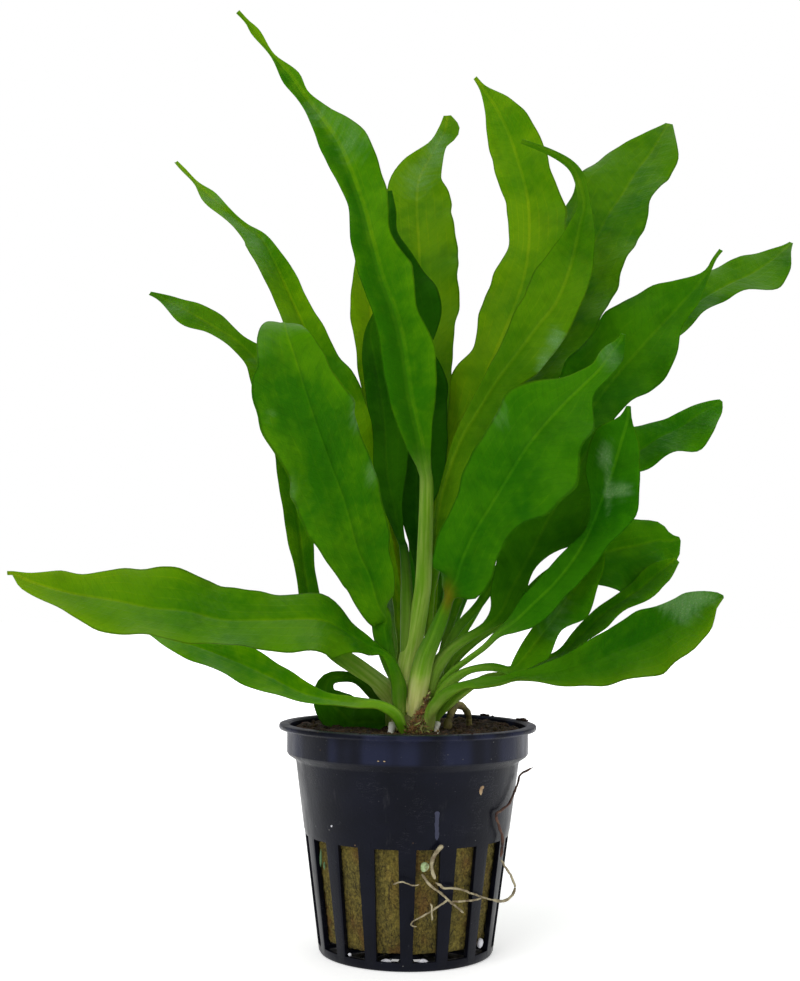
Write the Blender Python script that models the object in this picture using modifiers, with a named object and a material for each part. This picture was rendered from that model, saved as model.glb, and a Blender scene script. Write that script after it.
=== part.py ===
"""A potted sword plant: a rosette of long wavy leaves on a short crown, rooted in a rock wool
plug that sits in a small black slotted pot.

Metres, +Z up. The origin is on the pot's axis, at the underside of its floor, and -Y is the
front. Lengths in the tables below are in millimetres and are scaled by MM when they are used.
"""

import math
from dataclasses import dataclass

import bmesh
import bpy
from mathutils import Vector

MM = 0.001

# Clearance between solids that touch in the real plant.
GAP = 0.3

# The pot: a thin moulded cup with a flat lip, a straight collar and a tapered slotted wall.
LIP_RADIUS = 27.5
LIP_THICKNESS = 1.1
POT_HEIGHT = 47.5
COLLAR_RADIUS = 25.8
COLLAR_BOTTOM = 41.0
WALL_TOP_RADIUS = 23.8
WALL_TOP = 40.0
BASE_RADIUS = 18.4
WALL_THICKNESS = 1.0
FLOOR_THICKNESS = 1.2
POT_STEPS = 48

SLOT_COUNT = 16
SLOT_BOTTOM = 1.9
SLOT_TOP = 24.5
SLOT_WIDTH = 4.9
FLOOR_SLOT_WIDTH = 2.4
FLOOR_SLOT_INNER = 8.5
FLOOR_SLOT_OUTER = 16.4

# The rock wool plug fills the pot from just above the floor to just under the lip.
PLUG_BOTTOM = 3.4
PLUG_TOP = 44.4
PLUG_TOP_EDGE = 43.6

# The crown is the fleshy stump that all petioles clasp. It leans a little to the right.
CROWN_BOTTOM = 45.1
CROWN_RINGS = [(3.8, 45.1), (5.4, 47.0), (5.7, 51.0), (5.2, 55.0), (4.6, 59.0), (4.0, 61.6), (3.6, 61.9)]
CROWN_FOOT = (0.6, -1.8)
CROWN_HEAD = (1.8, -1.0)
CROWN_STEPS = 20

# A leaf is thick along its petiole and thin in its blade.
PETIOLE_THICKNESS = 1.3
BLADE_THICKNESS = 0.7
LEAF_COLUMNS = 2

LEAF_GREEN = (0.045, 0.16, 0.004, 1.0)
LEAF_LIGHT = (0.11, 0.25, 0.004, 1.0)
LEAF_DARK = (0.02, 0.09, 0.003, 1.0)


@dataclass
class Leaf:
    """One leaf with its petiole.

    facing is the direction that the upper face looks in, at the foot and at the tip, and fold is
    the angle in degrees by which each half rises from the midrib. Each station is x, y and z of
    the midrib and the widths from it to the left and the right margin, from foot to tip.
    """

    name: str
    colour: tuple
    rows: int
    fold: float
    facing: tuple
    stations: list


LEAVES = [
    Leaf("leaf_tall_centre", LEAF_GREEN, 24, 10, ((0.15, -1, 0.1), (-0.3, -1, 0.2)), [
        (1.5, -3.6, 62.6, 1, 1), (1.5, -4.5, 68.5, 1, 1), (2.5, -6.5, 76, 1.5, 1.5),
        (3.5, -9.5, 97, 1.5, 1.5), (3, -10, 101.5, 1.5, 1.5), (2, -10, 107.5, 3.5, 2.5),
        (0, -11, 116, 4.5, 5.5), (-1.5, -11.5, 126, 5, 6.5), (-3.5, -12.5, 134, 4.5, 5),
        (-6.5, -12, 142, 4.5, 7), (-8.5, -12, 149.5, 4.5, 4.5), (-11, -10.5, 158.5, 3, 6),
        (-15.5, -10, 170, 4, 6.5), (-20, -9.5, 177, 2.5, 3), (-23.5, -9.5, 181.5, 1.5, 1.5),
        (-26.5, -9, 186, 2, 2), (-30.5, -8.5, 191, 0.5, 0.5), (-34, -9.5, 195.5, 1, 1),
        (-36, -9.5, 198, 0.5, 0.5), (-38, -10, 200, 0.5, 0.5)]),
    Leaf("leaf_inner_dark", LEAF_DARK, 15, 8, ((0, -1, 0), (0, -1, 0.1)), [
        (2, -0.4, 62.6, 0.9, 0.9), (1.7, 1.5, 68, 1, 1), (2.5, 3.5, 78, 1, 1),
        (2, 4.5, 86, 2, 1.5), (1.5, 5, 92.5, 3.5, 3), (1.5, 6, 102.5, 5.5, 6.5),
        (1, 7, 114, 6.5, 7.5), (0, 7.5, 122.5, 5.5, 8), (-1, 8, 130, 5.5, 6),
        (-1.5, 9, 137, 5.5, 8.5), (-2.5, 9.5, 143.5, 4.5, 8), (-3.5, 10, 150.5, 3, 4.5),
        (-4.5, 11, 157, 2, 1.5), (-5, 11.5, 162.5, 1.5, 1.5), (-5, 12, 167.5, 0.5, 0.5)]),
    Leaf("leaf_inner_left", LEAF_DARK, 14, 10, ((0.15, -1, 0), (0.25, -1, 0)), [
        (-0.2, -1.6, 62.6, 0.9, 0.9), (0.4, -0.6, 68, 0.9, 0.9), (1.5, 0, 74, 1, 1),
        (0, 0, 81, 1, 1), (-2, 1, 87.5, 1, 1), (-3.5, 1.5, 94.5, 2.5, 2), (-5, 2, 102, 3, 4.5),
        (-5.5, 2, 111, 3, 5.5), (-6.5, 2, 118.5, 3.5, 5.5), (-8, 2, 127, 3, 4.5),
        (-9, 2, 132, 1.5, 2), (-8, 1, 136.5, 0.5, 0.5)]),
    Leaf("leaf_inner_back", LEAF_LIGHT, 14, 8, ((0.3, -1, 0), (0.35, -1, 0)), [
        (0.3, 2.2, 62.6, 0.9, 0.9), (-0.5, 6, 68.5, 1, 1), (-2.5, 9, 81.5, 1, 1),
        (-4.5, 11, 94, 1.5, 1.5), (-6, 13, 107.5, 3.5, 3), (-7.5, 15, 119.5, 3.5, 4),
        (-8.5, 16.5, 127.5, 4, 4), (-9, 18, 136, 5, 4), (-9.5, 19.5, 143.5, 5, 4),
        (-10, 21.5, 153, 3.5, 3.5), (-10, 23, 160, 2.5, 2), (-10.5, 24, 165.5, 0.5, 0.5)]),
    Leaf("leaf_top_back", LEAF_LIGHT, 16, 8, ((-0.15, -1, 0), (-0.3, -1, 0.2)), [
        (2.6, 2.2, 62.6, 0.9, 0.9), (2.5, 8, 68.5, 1, 1), (3.5, 11.5, 82.5, 1, 1),
        (4.5, 16, 96.5, 2.5, 2.5), (5, 19.5, 108.5, 4.5, 4.5), (4.5, 23, 120.5, 5.5, 5.5),
        (4, 26, 130.5, 6.5, 6.5), (3.5, 29.5, 141, 7, 8.5), (2.5, 32.5, 151.5, 8, 10),
        (2, 35.5, 162, 8, 9.5), (1.5, 38.5, 171.5, 8, 9), (2, 39.5, 178.5, 7.5, 6.5),
        (4.5, 40.5, 184, 4.5, 4), (6.5, 41, 188, 2, 3), (8.5, 40.5, 191.5, 2, 4),
        (9, 41, 195.5, 1, 1)]),
    Leaf("leaf_tall_left", LEAF_GREEN, 17, 22, ((0.35, -1, 0.1), (0.6, -1, 0.1)), [
        (-1.7, 0.6, 62.6, 0.9, 0.9), (-2.3, 3, 69, 1, 1), (-2.5, 4.5, 74, 1.5, 1),
        (-5, 6.5, 86, 2, 1.5), (-8.5, 8.5, 97, 4.5, 3), (-12.5, 9.5, 107.5, 6.5, 5),
        (-16.5, 11, 118, 7.5, 6.5), (-20.5, 12.5, 127, 7, 5), (-24, 13.5, 135, 6.5, 4),
        (-27.5, 14, 142.5, 5.5, 3.5), (-31, 14, 150, 6.5, 3), (-34.5, 15, 156.5, 6, 1.5),
        (-38.5, 15, 159.5, 3.5, 1), (-43, 16, 163.5, 3, 1), (-47, 16, 167, 3, 1.5),
        (-50, 15.5, 170, 1, 0.5), (-53, 15.5, 173, 1, 0.5), (-55, 16, 175, 0.5, 0.5)]),
    Leaf("leaf_front_left", LEAF_GREEN, 16, 6, ((0.3, -1, 0.1), (0.15, -0.6, 1)), [
        (-1.4, -4.2, 62.6, 1, 1), (-2.5, -7.5, 65.5, 1.5, 1.5), (-5, -9.5, 69.5, 2.5, 2),
        (-6.5, -12, 72, 3.5, 4.5), (-8.5, -13.5, 78.5, 6, 6), (-11, -15.5, 84, 7.5, 8),
        (-13.5, -19, 93, 11, 9), (-16.5, -22.5, 101, 12.5, 10), (-19, -26, 108, 12, 11),
        (-21, -28, 114, 11.5, 8.5), (-23, -29.5, 120.5, 10.5, 7), (-24.5, -30, 125, 6, 5),
        (-25.5, -26.5, 128.5, 4, 3.5), (-26.5, -20.5, 129.5, 1.5, 1.5),
        (-27, -18, 128, 0.5, 0.5)]),
    Leaf("leaf_arching_left", LEAF_GREEN, 20, 10, ((0.3, -0.9, 0.4), (0.45, -1, 0.2)), [
        (-5.8, -1.2, 53.2, 1.3, 1.1), (-7.6, -0.2, 55, 1.3, 1.2), (-10.5, 1.5, 58, 2, 1.5),
        (-14.5, 2.5, 61.5, 2.5, 2), (-18, 4, 65.5, 2.5, 2), (-20.5, 5.5, 69.5, 2.5, 2),
        (-22, 7, 74.5, 2.5, 2.5), (-23.5, 9, 82, 2.5, 2.5), (-24.5, 9.5, 89, 3.5, 3),
        (-26, 10.5, 98, 3.5, 3.5), (-27.5, 12, 106, 3.5, 3.5), (-29, 12, 114, 4.5, 3.5),
        (-32, 11, 121.5, 4.5, 3.5), (-35, 11, 127.5, 3, 3.5), (-39.5, 11, 132, 2.5, 2),
        (-45, 12, 135.5, 2.5, 3.5), (-50, 13, 138.5, 4, 3), (-54.5, 14, 141, 2.5, 2),
        (-57.5, 13.5, 142.5, 1, 1), (-60, 14, 143.5, 0.5, 0.5)]),
    Leaf("leaf_long_left", LEAF_GREEN, 16, 8, ((0.2, -0.6, 0.8), (0.1, -0.8, 0.6)), [
        (-3.2, -6.8, 53.5, 1.8, 1.4), (-3.6, -8, 57.5, 2, 1.4), (-5, -9.5, 61.3, 2.2, 1.7),
        (-8, -11, 64, 3.5, 2), (-12, -12.5, 66.5, 6.5, 3.5), (-18, -15, 69.5, 12, 6.5),
        (-28.5, -18, 69.5, 9.5, 7), (-37.5, -20, 69.5, 8, 8.5), (-44.5, -22, 71.2, 9, 9.5),
        (-51.5, -23, 71.8, 8.5, 10), (-58.5, -24, 73.2, 9, 8), (-65.5, -24, 74.2, 6, 5),
        (-71, -25, 75.5, 4, 4.5), (-75.5, -25.5, 77, 2.5, 2), (-78.5, -25.5, 78.5, 0.5, 0.5),
        (-79.5, -26, 78.5, 0.5, 0.5)]),
    Leaf("leaf_low_left", LEAF_GREEN, 14, 10, ((0.1, -0.6, 0.8), (0.1, -0.7, 0.7)), [
        (-1, -8.4, 47.2, 1.5, 1.3), (-2, -9, 49.5, 1.7, 1.4), (-4, -9, 51.5, 2, 1.5),
        (-7.5, -9.5, 52, 2, 1.5), (-11.5, -10, 52.5, 2, 1.5), (-15.5, -10.5, 53, 2, 1.5),
        (-18.5, -10.5, 53.5, 2.5, 2), (-22.5, -10, 54.5, 3.5, 3), (-27.5, -10, 57, 5, 4),
        (-33, -10, 59.5, 5.5, 4.5), (-38, -10, 61.5, 5.5, 4), (-43.5, -10, 63.5, 4.5, 3),
        (-48.5, -10, 65, 3.5, 2), (-52.5, -9.5, 66, 1.5, 1), (-54, -10, 66.5, 0.5, 0.5)]),
    Leaf("leaf_drooping_left", LEAF_DARK, 14, 6, ((0, -1, 0.3), (0, -1, 0)), [
        (-5.6, 2.4, 50.5, 1, 1), (-8, 3.6, 53.4, 1, 1), (-11, 3.6, 56.3, 1, 1),
        (-14, 3.4, 57, 1.2, 1.2), (-17, 3, 56.5, 1.5, 1.5), (-18, 2, 54, 2.2, 2.6),
        (-16.5, 1, 51.5, 3.5, 4), (-14, 0, 49.2, 4.5, 4.5), (-12, -1, 47.6, 2.5, 2.5)]),
    Leaf("leaf_tall_right", LEAF_LIGHT, 18, 6, ((-0.3, -1, 0), (-0.5, -1, 0.1)), [
        (4.8, -0.4, 62.6, 0.9, 0.9), (5, 1, 69, 1, 1), (5.5, 2.5, 76, 1, 1), (6, 4.5, 87, 1, 1),
        (7, 6.5, 96, 1.5, 1.5), (9.5, 7.5, 105, 1.5, 3), (12.5, 8, 113, 3.5, 4.5),
        (16, 9, 122, 7, 5.5), (19.5, 10, 130.5, 5.5, 6.5), (23, 12.5, 139, 7.5, 6),
        (25.5, 13.5, 146, 7.5, 7), (27, 14.5, 153.5, 5.5, 8.5), (27.5, 16.5, 161.5, 5, 9.5),
        (27, 17.5, 168.5, 5.5, 7.5), (25, 19, 177, 6, 7), (23, 20, 183.5, 5.5, 6.5),
        (20, 21.5, 190.5, 3, 4), (17, 22.5, 195.5, 1, 1), (15, 23, 198.5, 0.5, 0.5)]),
    Leaf("leaf_bright_right", LEAF_LIGHT, 20, 8, ((-0.2, -1, 0), (-0.3, -1, 0.1)), [
        (4, -2.8, 62.6, 0.9, 0.9), (4.3, -3, 70, 1, 1), (4.5, -3.5, 74, 1, 1),
        (5.5, -5, 85.5, 1, 1), (6.5, -5, 94, 1, 2), (8.5, -5.5, 101.5, 1.2, 4),
        (11, -7, 108, 1.8, 6), (14.5, -7.5, 114, 2.6, 6), (18.5, -9, 120.5, 3, 4.5),
        (23, -10, 126.5, 4.5, 6.5), (27, -10.5, 132, 6, 6.5), (30.5, -11, 136.5, 7, 5.5),
        (33, -11.5, 142.5, 7, 5), (34.5, -11, 148, 4.5, 4.5), (35.5, -11.5, 153, 2.5, 3.5),
        (36.5, -11, 158, 1.5, 1.5), (35.5, -9.5, 164, 1, 1.5), (33.5, -8, 168, 1, 1),
        (29, -7.5, 171, 1, 0.5), (23.5, -7, 173, 0.5, 0.5)]),
    Leaf("leaf_upper_right", LEAF_GREEN, 16, 6, ((-0.4, -1, 0.1), (-0.5, -1, 0.2)), [
        (4.7, 1.8, 62.6, 0.9, 0.9), (5.8, 5, 67, 1, 1), (7, 8, 76, 1, 1), (9.5, 11.5, 87.5, 1, 1),
        (13, 14.5, 99, 1.5, 1.5), (18, 18, 109.5, 2, 2.5), (23.5, 21, 119.5, 3.5, 4),
        (28.5, 23.5, 128, 5, 8.5), (33.5, 26, 137, 6.5, 10), (38, 28.5, 146, 8, 11),
        (41.5, 31, 154, 9.5, 10.5), (45, 33, 161.5, 11, 11), (48.5, 35, 168.5, 11.5, 10.5),
        (52.5, 37, 174.5, 12.5, 8.5), (56, 39, 180.5, 11, 9), (60, 41, 186, 8, 8),
        (63, 42.5, 191, 4, 4.5), (65.5, 44, 195, 1, 1)]),
    Leaf("leaf_far_right", LEAF_GREEN, 16, 6, ((-0.3, -0.9, 0.4), (-0.3, -0.9, 0.5)), [
        (6.9, 1.2, 60.5, 0.9, 0.9), (9.5, 4.5, 69.5, 1, 1), (13.5, 7.5, 78.5, 1, 1),
        (20.5, 11, 89.5, 1.5, 2), (28.5, 14.5, 101.5, 2.5, 2.5), (36.5, 17.5, 112, 3.5, 3.5),
        (43, 20, 120.5, 4, 4), (50, 22.5, 128.5, 5, 4), (55.5, 24.5, 134.5, 6, 4.5),
        (61.5, 26.5, 139.5, 6.5, 4.5), (67.5, 28.5, 144.5, 6.5, 4), (72.5, 30.5, 148, 6.5, 4),
        (78.5, 32.5, 151.5, 6.5, 4.5), (83.5, 34, 154, 6, 8.5), (88.5, 35.5, 157.5, 4.5, 6),
        (92.5, 37, 161, 1.5, 2), (94.5, 38, 163, 0.5, 0.5)]),
    Leaf("leaf_pointed_right", LEAF_GREEN, 16, 8, ((-0.35, -1, 0.2), (-0.4, -1, 0.3)), [
        (7.2, -1.4, 60.5, 0.9, 0.9), (10.5, -1, 67.5, 1, 1), (14.5, -1, 72, 1, 1),
        (18, -1, 77, 1, 1), (21.5, -1.5, 84.5, 1.5, 1.5), (26, -1.5, 93, 2, 2),
        (30.5, -2, 100.5, 3, 3.5), (35, -2, 108.5, 7, 5), (40, -2.5, 116.5, 10, 6),
        (45, -2.5, 123, 10.8, 8.5), (50.5, -4, 129.5, 11, 9), (56, -4.5, 135.5, 9, 4),
        (60, -5.5, 140, 5, 3), (63.5, -5.5, 144.5, 1, 1), (65, -7, 147.5, 0.5, 0.5),
        (66.5, -7, 149.5, 0.5, 0.5)]),
    Leaf("leaf_front_right", LEAF_GREEN, 17, 8, ((-0.2, -1, 0.2), (-0.35, -1, 0.3)), [
        (3.2, -7.8, 54.5, 1.4, 1.4), (4.5, -8.8, 59.5, 1.4, 1.4), (6, -10.5, 64, 1.5, 1.5),
        (7.5, -13, 70, 1, 1.5), (8.3, -14.2, 73, 1.4, 1.5), (9, -15.3, 75.6, 2.8, 3.6),
        (9.8, -16.4, 78, 4.8, 6),
        (10.5, -17.5, 81, 6, 7.2), (13, -19.5, 87, 7, 7), (16.5, -21.5, 93, 8, 7.5),
        (20, -24, 99, 9, 12.5), (23, -25, 104, 9.5, 13.5), (26.5, -25.5, 108.5, 10, 10.5),
        (30.5, -25.5, 113, 7, 8.5), (34, -25.5, 116.5, 3.5, 3.5), (37.5, -26, 120, 2, 3),
        (40, -25, 123.5, 2, 3), (42, -24.5, 126, 1, 1), (42.5, -25, 127.5, 0.5, 0.5)]),
    Leaf("leaf_curled_right", LEAF_GREEN, 15, 8, ((-0.2, -0.8, 0.5), (-0.5, -1, 0)), [
        (6.7, -6.9, 58.2, 1, 1), (8, -8.7, 60, 1, 1), (9.8, -10, 61.2, 1, 1),
        (12.5, -11.5, 63, 1, 1), (15.5, -12.5, 64.5, 1, 1), (18, -13, 67, 1.5, 1.5),
        (21.5, -15, 69.5, 1.5, 2), (25.5, -17, 73.5, 3, 3), (30, -18, 78, 3, 2.5),
        (34, -19.5, 83.5, 2.5, 3.5), (36.5, -21, 88.5, 1, 5.5), (38.5, -22.5, 94, 2.5, 8.5),
        (40.5, -24, 100, 6, 6), (42, -26, 106, 6, 4), (43, -27, 110, 2, 1),
        (43, -28, 112.5, 0.5, 0.5)]),
    Leaf("leaf_inner_right", LEAF_DARK, 12, 8, ((-0.3, -1, 0.2), (-0.3, -1, 0.2)), [
        (7.2, -4.6, 59.5, 0.9, 0.9), (9, -6, 63, 1, 1), (12.5, -7, 66, 1, 1),
        (16.5, -7, 68.5, 1, 1), (19.5, -7.5, 71.5, 1.5, 2), (21.5, -7.5, 76, 2.5, 2.5),
        (25, -7.5, 82.5, 3.5, 4.5), (29, -8, 90.5, 4, 8), (33.5, -8.5, 98.5, 4, 7.5),
        (37.5, -9, 106, 3, 5), (39.5, -9, 110.5, 0.5, 0.5)]),
    Leaf("leaf_round_right", LEAF_GREEN, 14, 6, ((-0.3, -0.9, 0.4), (-0.3, -0.9, 0.4)), [
        (7.4, 3, 57, 0.9, 0.9), (10.5, 4, 64, 1, 1), (14, 5, 70, 1, 1), (17.5, 6, 76, 1, 1),
        (22, 7.5, 83, 1, 1), (28, 9, 90.5, 2, 2), (35, 11, 97, 3, 3.5), (42, 13, 102.5, 4.5, 4.5),
        (48, 14.5, 106, 5.5, 5), (53, 16, 108.5, 6.5, 5.5), (57.5, 17, 111.5, 5, 6),
        (62.5, 19, 114, 3.5, 8), (67.5, 20.5, 117.5, 3, 5.5), (71, 21.5, 119.5, 2, 3),
        (73, 22, 121, 0.5, 0.5)]),
    Leaf("leaf_middle_right", LEAF_GREEN, 13, 6, ((-0.3, -0.9, 0.4), (-0.3, -0.9, 0.3)), [
        (7.5, -3.4, 56, 0.9, 0.9), (10, -4, 61, 1, 1), (14, -4, 65, 1, 1), (19, -2.5, 68.5, 1, 1),
        (23.5, -2.5, 72.5, 1.5, 1.5), (29, -2.5, 77.5, 2, 2), (34.5, -2, 80.5, 3, 3.5),
        (40, -2, 83.5, 4.5, 6), (44.5, -1.5, 85, 6, 9), (49.5, -1.5, 86, 6.5, 8),
        (53.5, -1, 87, 5, 6), (56.5, -1, 87, 2, 3), (58.5, -1, 87.5, 0.5, 0.5)]),
    Leaf("leaf_short_right", LEAF_GREEN, 13, 8, ((-0.1, -0.7, 0.6), (-0.3, -0.9, 0.4)), [
        (6.8, -5.8, 53.5, 1, 1), (9.5, -7.6, 57.6, 1, 1.2), (13, -9.5, 59.5, 1, 1.5),
        (17, -10, 60, 1, 1), (20, -10, 59.5, 1, 1), (21.5, -10.5, 59.5, 1, 1.5),
        (24, -11, 62, 2, 3), (26.5, -12, 65.5, 2, 5), (29.5, -13.5, 69.5, 2.5, 3),
        (32.5, -14.5, 74, 2, 6), (35.5, -16, 79, 1, 4.5), (37.5, -17, 83, 1.5, 3),
        (39, -18, 86.5, 0.5, 0.5)]),
    Leaf("leaf_edge_right", LEAF_DARK, 12, 12, ((0, -0.5, 0.9), (0, -0.3, 1)), [
        (7.6, -3.2, 51.8, 0.8, 0.9), (11.5, -4.5, 55.6, 1, 1.3), (16, -5.4, 57.4, 1, 1.3),
        (21, -6, 58.3, 1, 1.3), (26.5, -6.5, 60.5, 1, 2.5), (32, -7, 63, 1, 3),
        (36, -7, 66.5, 2, 3.5), (40, -7.5, 70.5, 2, 5.5), (44, -8, 73.5, 2, 5),
        (48.5, -8.5, 76.5, 2.5, 6.5), (52.5, -8.5, 80, 2.5, 6), (56, -9, 83, 0.5, 1.5)]),
    Leaf("leaf_bottom_right", LEAF_GREEN, 15, 8, ((0, -0.6, 0.8), (-0.1, -0.75, 0.65)), [
        (3.6, -8.4, 46.6, 1.4, 1.4), (4.6, -10, 50, 1.5, 1.8), (6.5, -12, 54, 1.5, 2.5),
        (10, -14, 56, 1.5, 2), (14.5, -15, 57, 1.5, 2), (18.5, -16, 57.5, 1, 1.5),
        (21.5, -17, 58.5, 1, 1.5), (25, -18.5, 59, 1.5, 2.5), (30.5, -20.5, 60, 3.5, 5),
        (34.5, -22.5, 61.5, 4.5, 7), (38.5, -24.5, 63, 6, 9), (45, -28, 65.5, 6.8, 11.5),
        (49, -30.5, 68.5, 6.2, 12), (53, -33.5, 71, 5.5, 10), (56, -35.5, 73.5, 3.8, 6.5),
        (58, -37, 74.5, 1.8, 3.2), (59, -38, 75, 0.5, 0.5)]),
    Leaf("leaf_back_upright", LEAF_GREEN, 12, 8, ((0, -0.8, 0.5), (0, -1, 0.4)), [
        (1.2, 4.8, 56, 1, 1), (1, 9, 63, 1, 1), (1.5, 15, 76, 1.2, 1.2), (2, 21, 92, 2.5, 2.5),
        (2, 27, 108, 5.5, 5.5), (1, 32, 122, 7, 7), (0, 36, 134, 6, 6), (-1, 40, 144, 3, 3),
        (-2, 44, 150, 0.5, 0.5)]),
    Leaf("leaf_back_left", LEAF_GREEN, 12, 8, ((0.3, -0.7, 0.6), (0.3, -0.8, 0.6)), [
        (-2.8, 3.8, 54, 1, 1), (-4.5, 9, 60, 1, 1), (-6.5, 17, 69, 1.2, 1.2),
        (-8.5, 25, 80, 3, 3), (-11, 33, 92, 6, 6), (-14, 40, 103, 7, 7), (-16, 46, 112, 4.5, 4.5),
        (-18, 52, 119, 0.5, 0.5)]),
    Leaf("leaf_back_right", LEAF_GREEN, 12, 8, ((-0.2, -0.7, 0.6), (-0.2, -0.8, 0.6)), [
        (4.6, 3.8, 54, 1, 1), (7, 8, 60, 1, 1), (10.5, 16, 69, 1.2, 1.2), (14, 24, 80, 3, 3),
        (18.5, 32, 93, 6, 6), (23, 39, 104, 7, 7), (26, 45, 112, 4.5, 4.5),
        (28, 51, 118, 0.5, 0.5)]),
    Leaf("leaf_back_low_left", LEAF_DARK, 12, 10, ((0.2, -0.4, 0.9), (0.2, -0.4, 0.9)), [
        (-1.8, 4, 47.6, 1, 1), (-2.2, 10, 56, 1, 1), (-3.2, 19, 66, 1.2, 1.2),
        (-4.4, 28, 74, 3, 3), (-5.6, 38, 80, 6, 6), (-7, 48, 83.5, 6.5, 6.5), (-8.5, 57, 84, 4, 4),
        (-10, 64.5, 82, 0.5, 0.5)]),
    Leaf("leaf_back_low_right", LEAF_GREEN, 12, 10, ((-0.2, -0.4, 0.9), (-0.2, -0.4, 0.9)), [
        (3.2, 4, 47.6, 1, 1), (4.2, 10, 56, 1, 1), (6, 19, 66, 1.2, 1.2),
        (8, 28, 74.5, 3, 3), (10.5, 37, 80.5, 6, 6), (13, 46, 84, 6.5, 6.5), (15, 54, 84.5, 4, 4),
        (16.5, 61, 83, 0.5, 0.5)]),
]

# Roots: x, y and z of each point, then the radius of the root, in the order tip to tip.
ROOTS = {
    "root_thick": (0.55, [(7.0, -21.7, 25.6), (5.7, -22.0, 24.4), (4.9, -21.9, 22.4),
                          (5.1, -21.6, 20.2), (5.6, -21.3, 18.9)]),
    "root_diagonal": (0.35, [(2.9, -21.5, 19.9), (4.0, -21.3, 18.6), (5.3, -20.9, 17.2),
                             (8.3, -19.7, 14.5), (11.4, -17.6, 11.6)]),
    "root_runner": (0.3, [(7.4, -20.6, 17.1), (10.4, -19.0, 16.6), (13.2, -16.8, 15.2),
                          (15.4, -14.8, 14.0), (17.4, -12.4, 13.1)]),
    "root_branch": (0.25, [(13.2, -16.6, 13.9), (11.2, -18.2, 14.1), (9.9, -19.0, 14.2)]),
    "root_side": (0.25, [(7.2, -20.0, 14.0), (5.2, -20.5, 12.8), (3.3, -20.8, 11.8),
                         (1.0, -20.8, 10.4), (0.9, -20.7, 9.7), (2.0, -20.6, 9.5)]),
    "root_fine": (0.2, [(-2.8, -21.6, 17.9), (-1.0, -21.8, 18.4), (1.1, -21.8, 17.7),
                        (2.4, -21.6, 17.9)]),
    "root_short": (0.2, [(4.9, -21.3, 13.4), (5.0, -21.0, 10.8)]),
    "root_loop": (0.3, [(18.3, -11.5, 12.7), (20.0, -9.5, 12.1), (21.7, -7.5, 12.7),
                        (22.4, -6.5, 14.2), (21.6, -7.0, 16.7), (20.0, -9.5, 19.6)]),
    "root_brown": (0.3, [(19.2, -11.5, 21.4), (19.6, -11.5, 24.7), (18.6, -13.6, 27.8),
                         (18.0, -14.6, 30.3), (19.4, -13.2, 31.0), (21.4, -10.4, 32.5),
                         (23.3, -7.0, 36.0), (24.0, -5.6, 37.3), (26.5, -4.6, 38.9)]),
    "root_stub_left": (0.55, [(-3.6, -7.4, 44.9), (-3.0, -6.8, 48.2)]),
    "root_stub_right": (0.45, [(6.4, -8.6, 44.9), (5.9, -8.3, 47.0), (6.3, -7.9, 48.6)]),
    "old_stalk": (0.6, [(8.4, -3.0, 45.0), (8.8, -3.0, 48.4), (9.6, -2.4, 50.6),
                        (10.8, -1.2, 51.4), (12.2, 0.4, 50.6), (13.0, 2.0, 48.4),
                        (13.2, 3.0, 45.0)]),
}
BUD_RADIUS = 0.95
BUD_PLACE = (3.4, -22.3, 21.4)
ROOT_SPACING = 1.8


def clear_scene():
    """Remove whatever the scene holds."""
    for item in list(bpy.data.objects):
        bpy.data.objects.remove(item, do_unlink=True)


def collection(name):
    """Make a collection in the scene."""
    made = bpy.data.collections.new(name)
    bpy.context.scene.collection.children.link(made)
    return made


def finish(name, colour, roughness):
    """Make a plain Principled material."""
    material = bpy.data.materials.new(name)
    material.use_nodes = True
    shader = material.node_tree.nodes["Principled BSDF"]
    shader.inputs["Base Color"].default_value = colour
    shader.inputs["Roughness"].default_value = roughness
    shader.inputs["Metallic"].default_value = 0.0
    return material


def place(name, mesh, group, material):
    """Put a mesh in the group as an object with one material, shaded smooth."""
    item = bpy.data.objects.new(name, mesh)
    group.objects.link(item)
    mesh.materials.append(material)
    mesh.shade_smooth()
    mesh.set_sharp_from_angle(angle=math.radians(35))
    return item


def curve_point(points, place_along):
    """Read a smooth curve through the points, with place_along from 0 to the last index.

    Each point is a tuple of any length, and each of its numbers is read in the same way.
    """
    last = len(points) - 1
    index = min(int(place_along), last - 1)
    t = place_along - index
    before = points[max(index - 1, 0)]
    start = points[index]
    end = points[index + 1]
    after = points[min(index + 2, last)]
    value = []
    for a, b, c, d in zip(before, start, end, after):
        slope_start = (c - a) / 2
        slope_end = (d - b) / 2
        value.append(
            b * (2 * t**3 - 3 * t**2 + 1)
            + c * (3 * t**2 - 2 * t**3)
            + slope_start * (t**3 - 2 * t**2 + t)
            + slope_end * (t**3 - t**2)
        )
    return value


def even_places(points, count):
    """Places along a curve that part it into count stretches of equal length."""
    steps = 12 * (len(points) - 1)
    reached = [0.0]
    here = Vector(points[0][:3])
    for step in range(1, steps + 1):
        there = Vector(curve_point(points, step * (len(points) - 1) / steps)[:3])
        reached.append(reached[-1] + (there - here).length)
        here = there
    places = []
    step = 0
    for number in range(count + 1):
        goal = reached[-1] * number / count
        while step < steps - 1 and reached[step + 1] < goal:
            step += 1
        share = (goal - reached[step]) / (reached[step + 1] - reached[step])
        places.append((step + min(max(share, 0.0), 1.0)) * (len(points) - 1) / steps)
    return places


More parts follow.
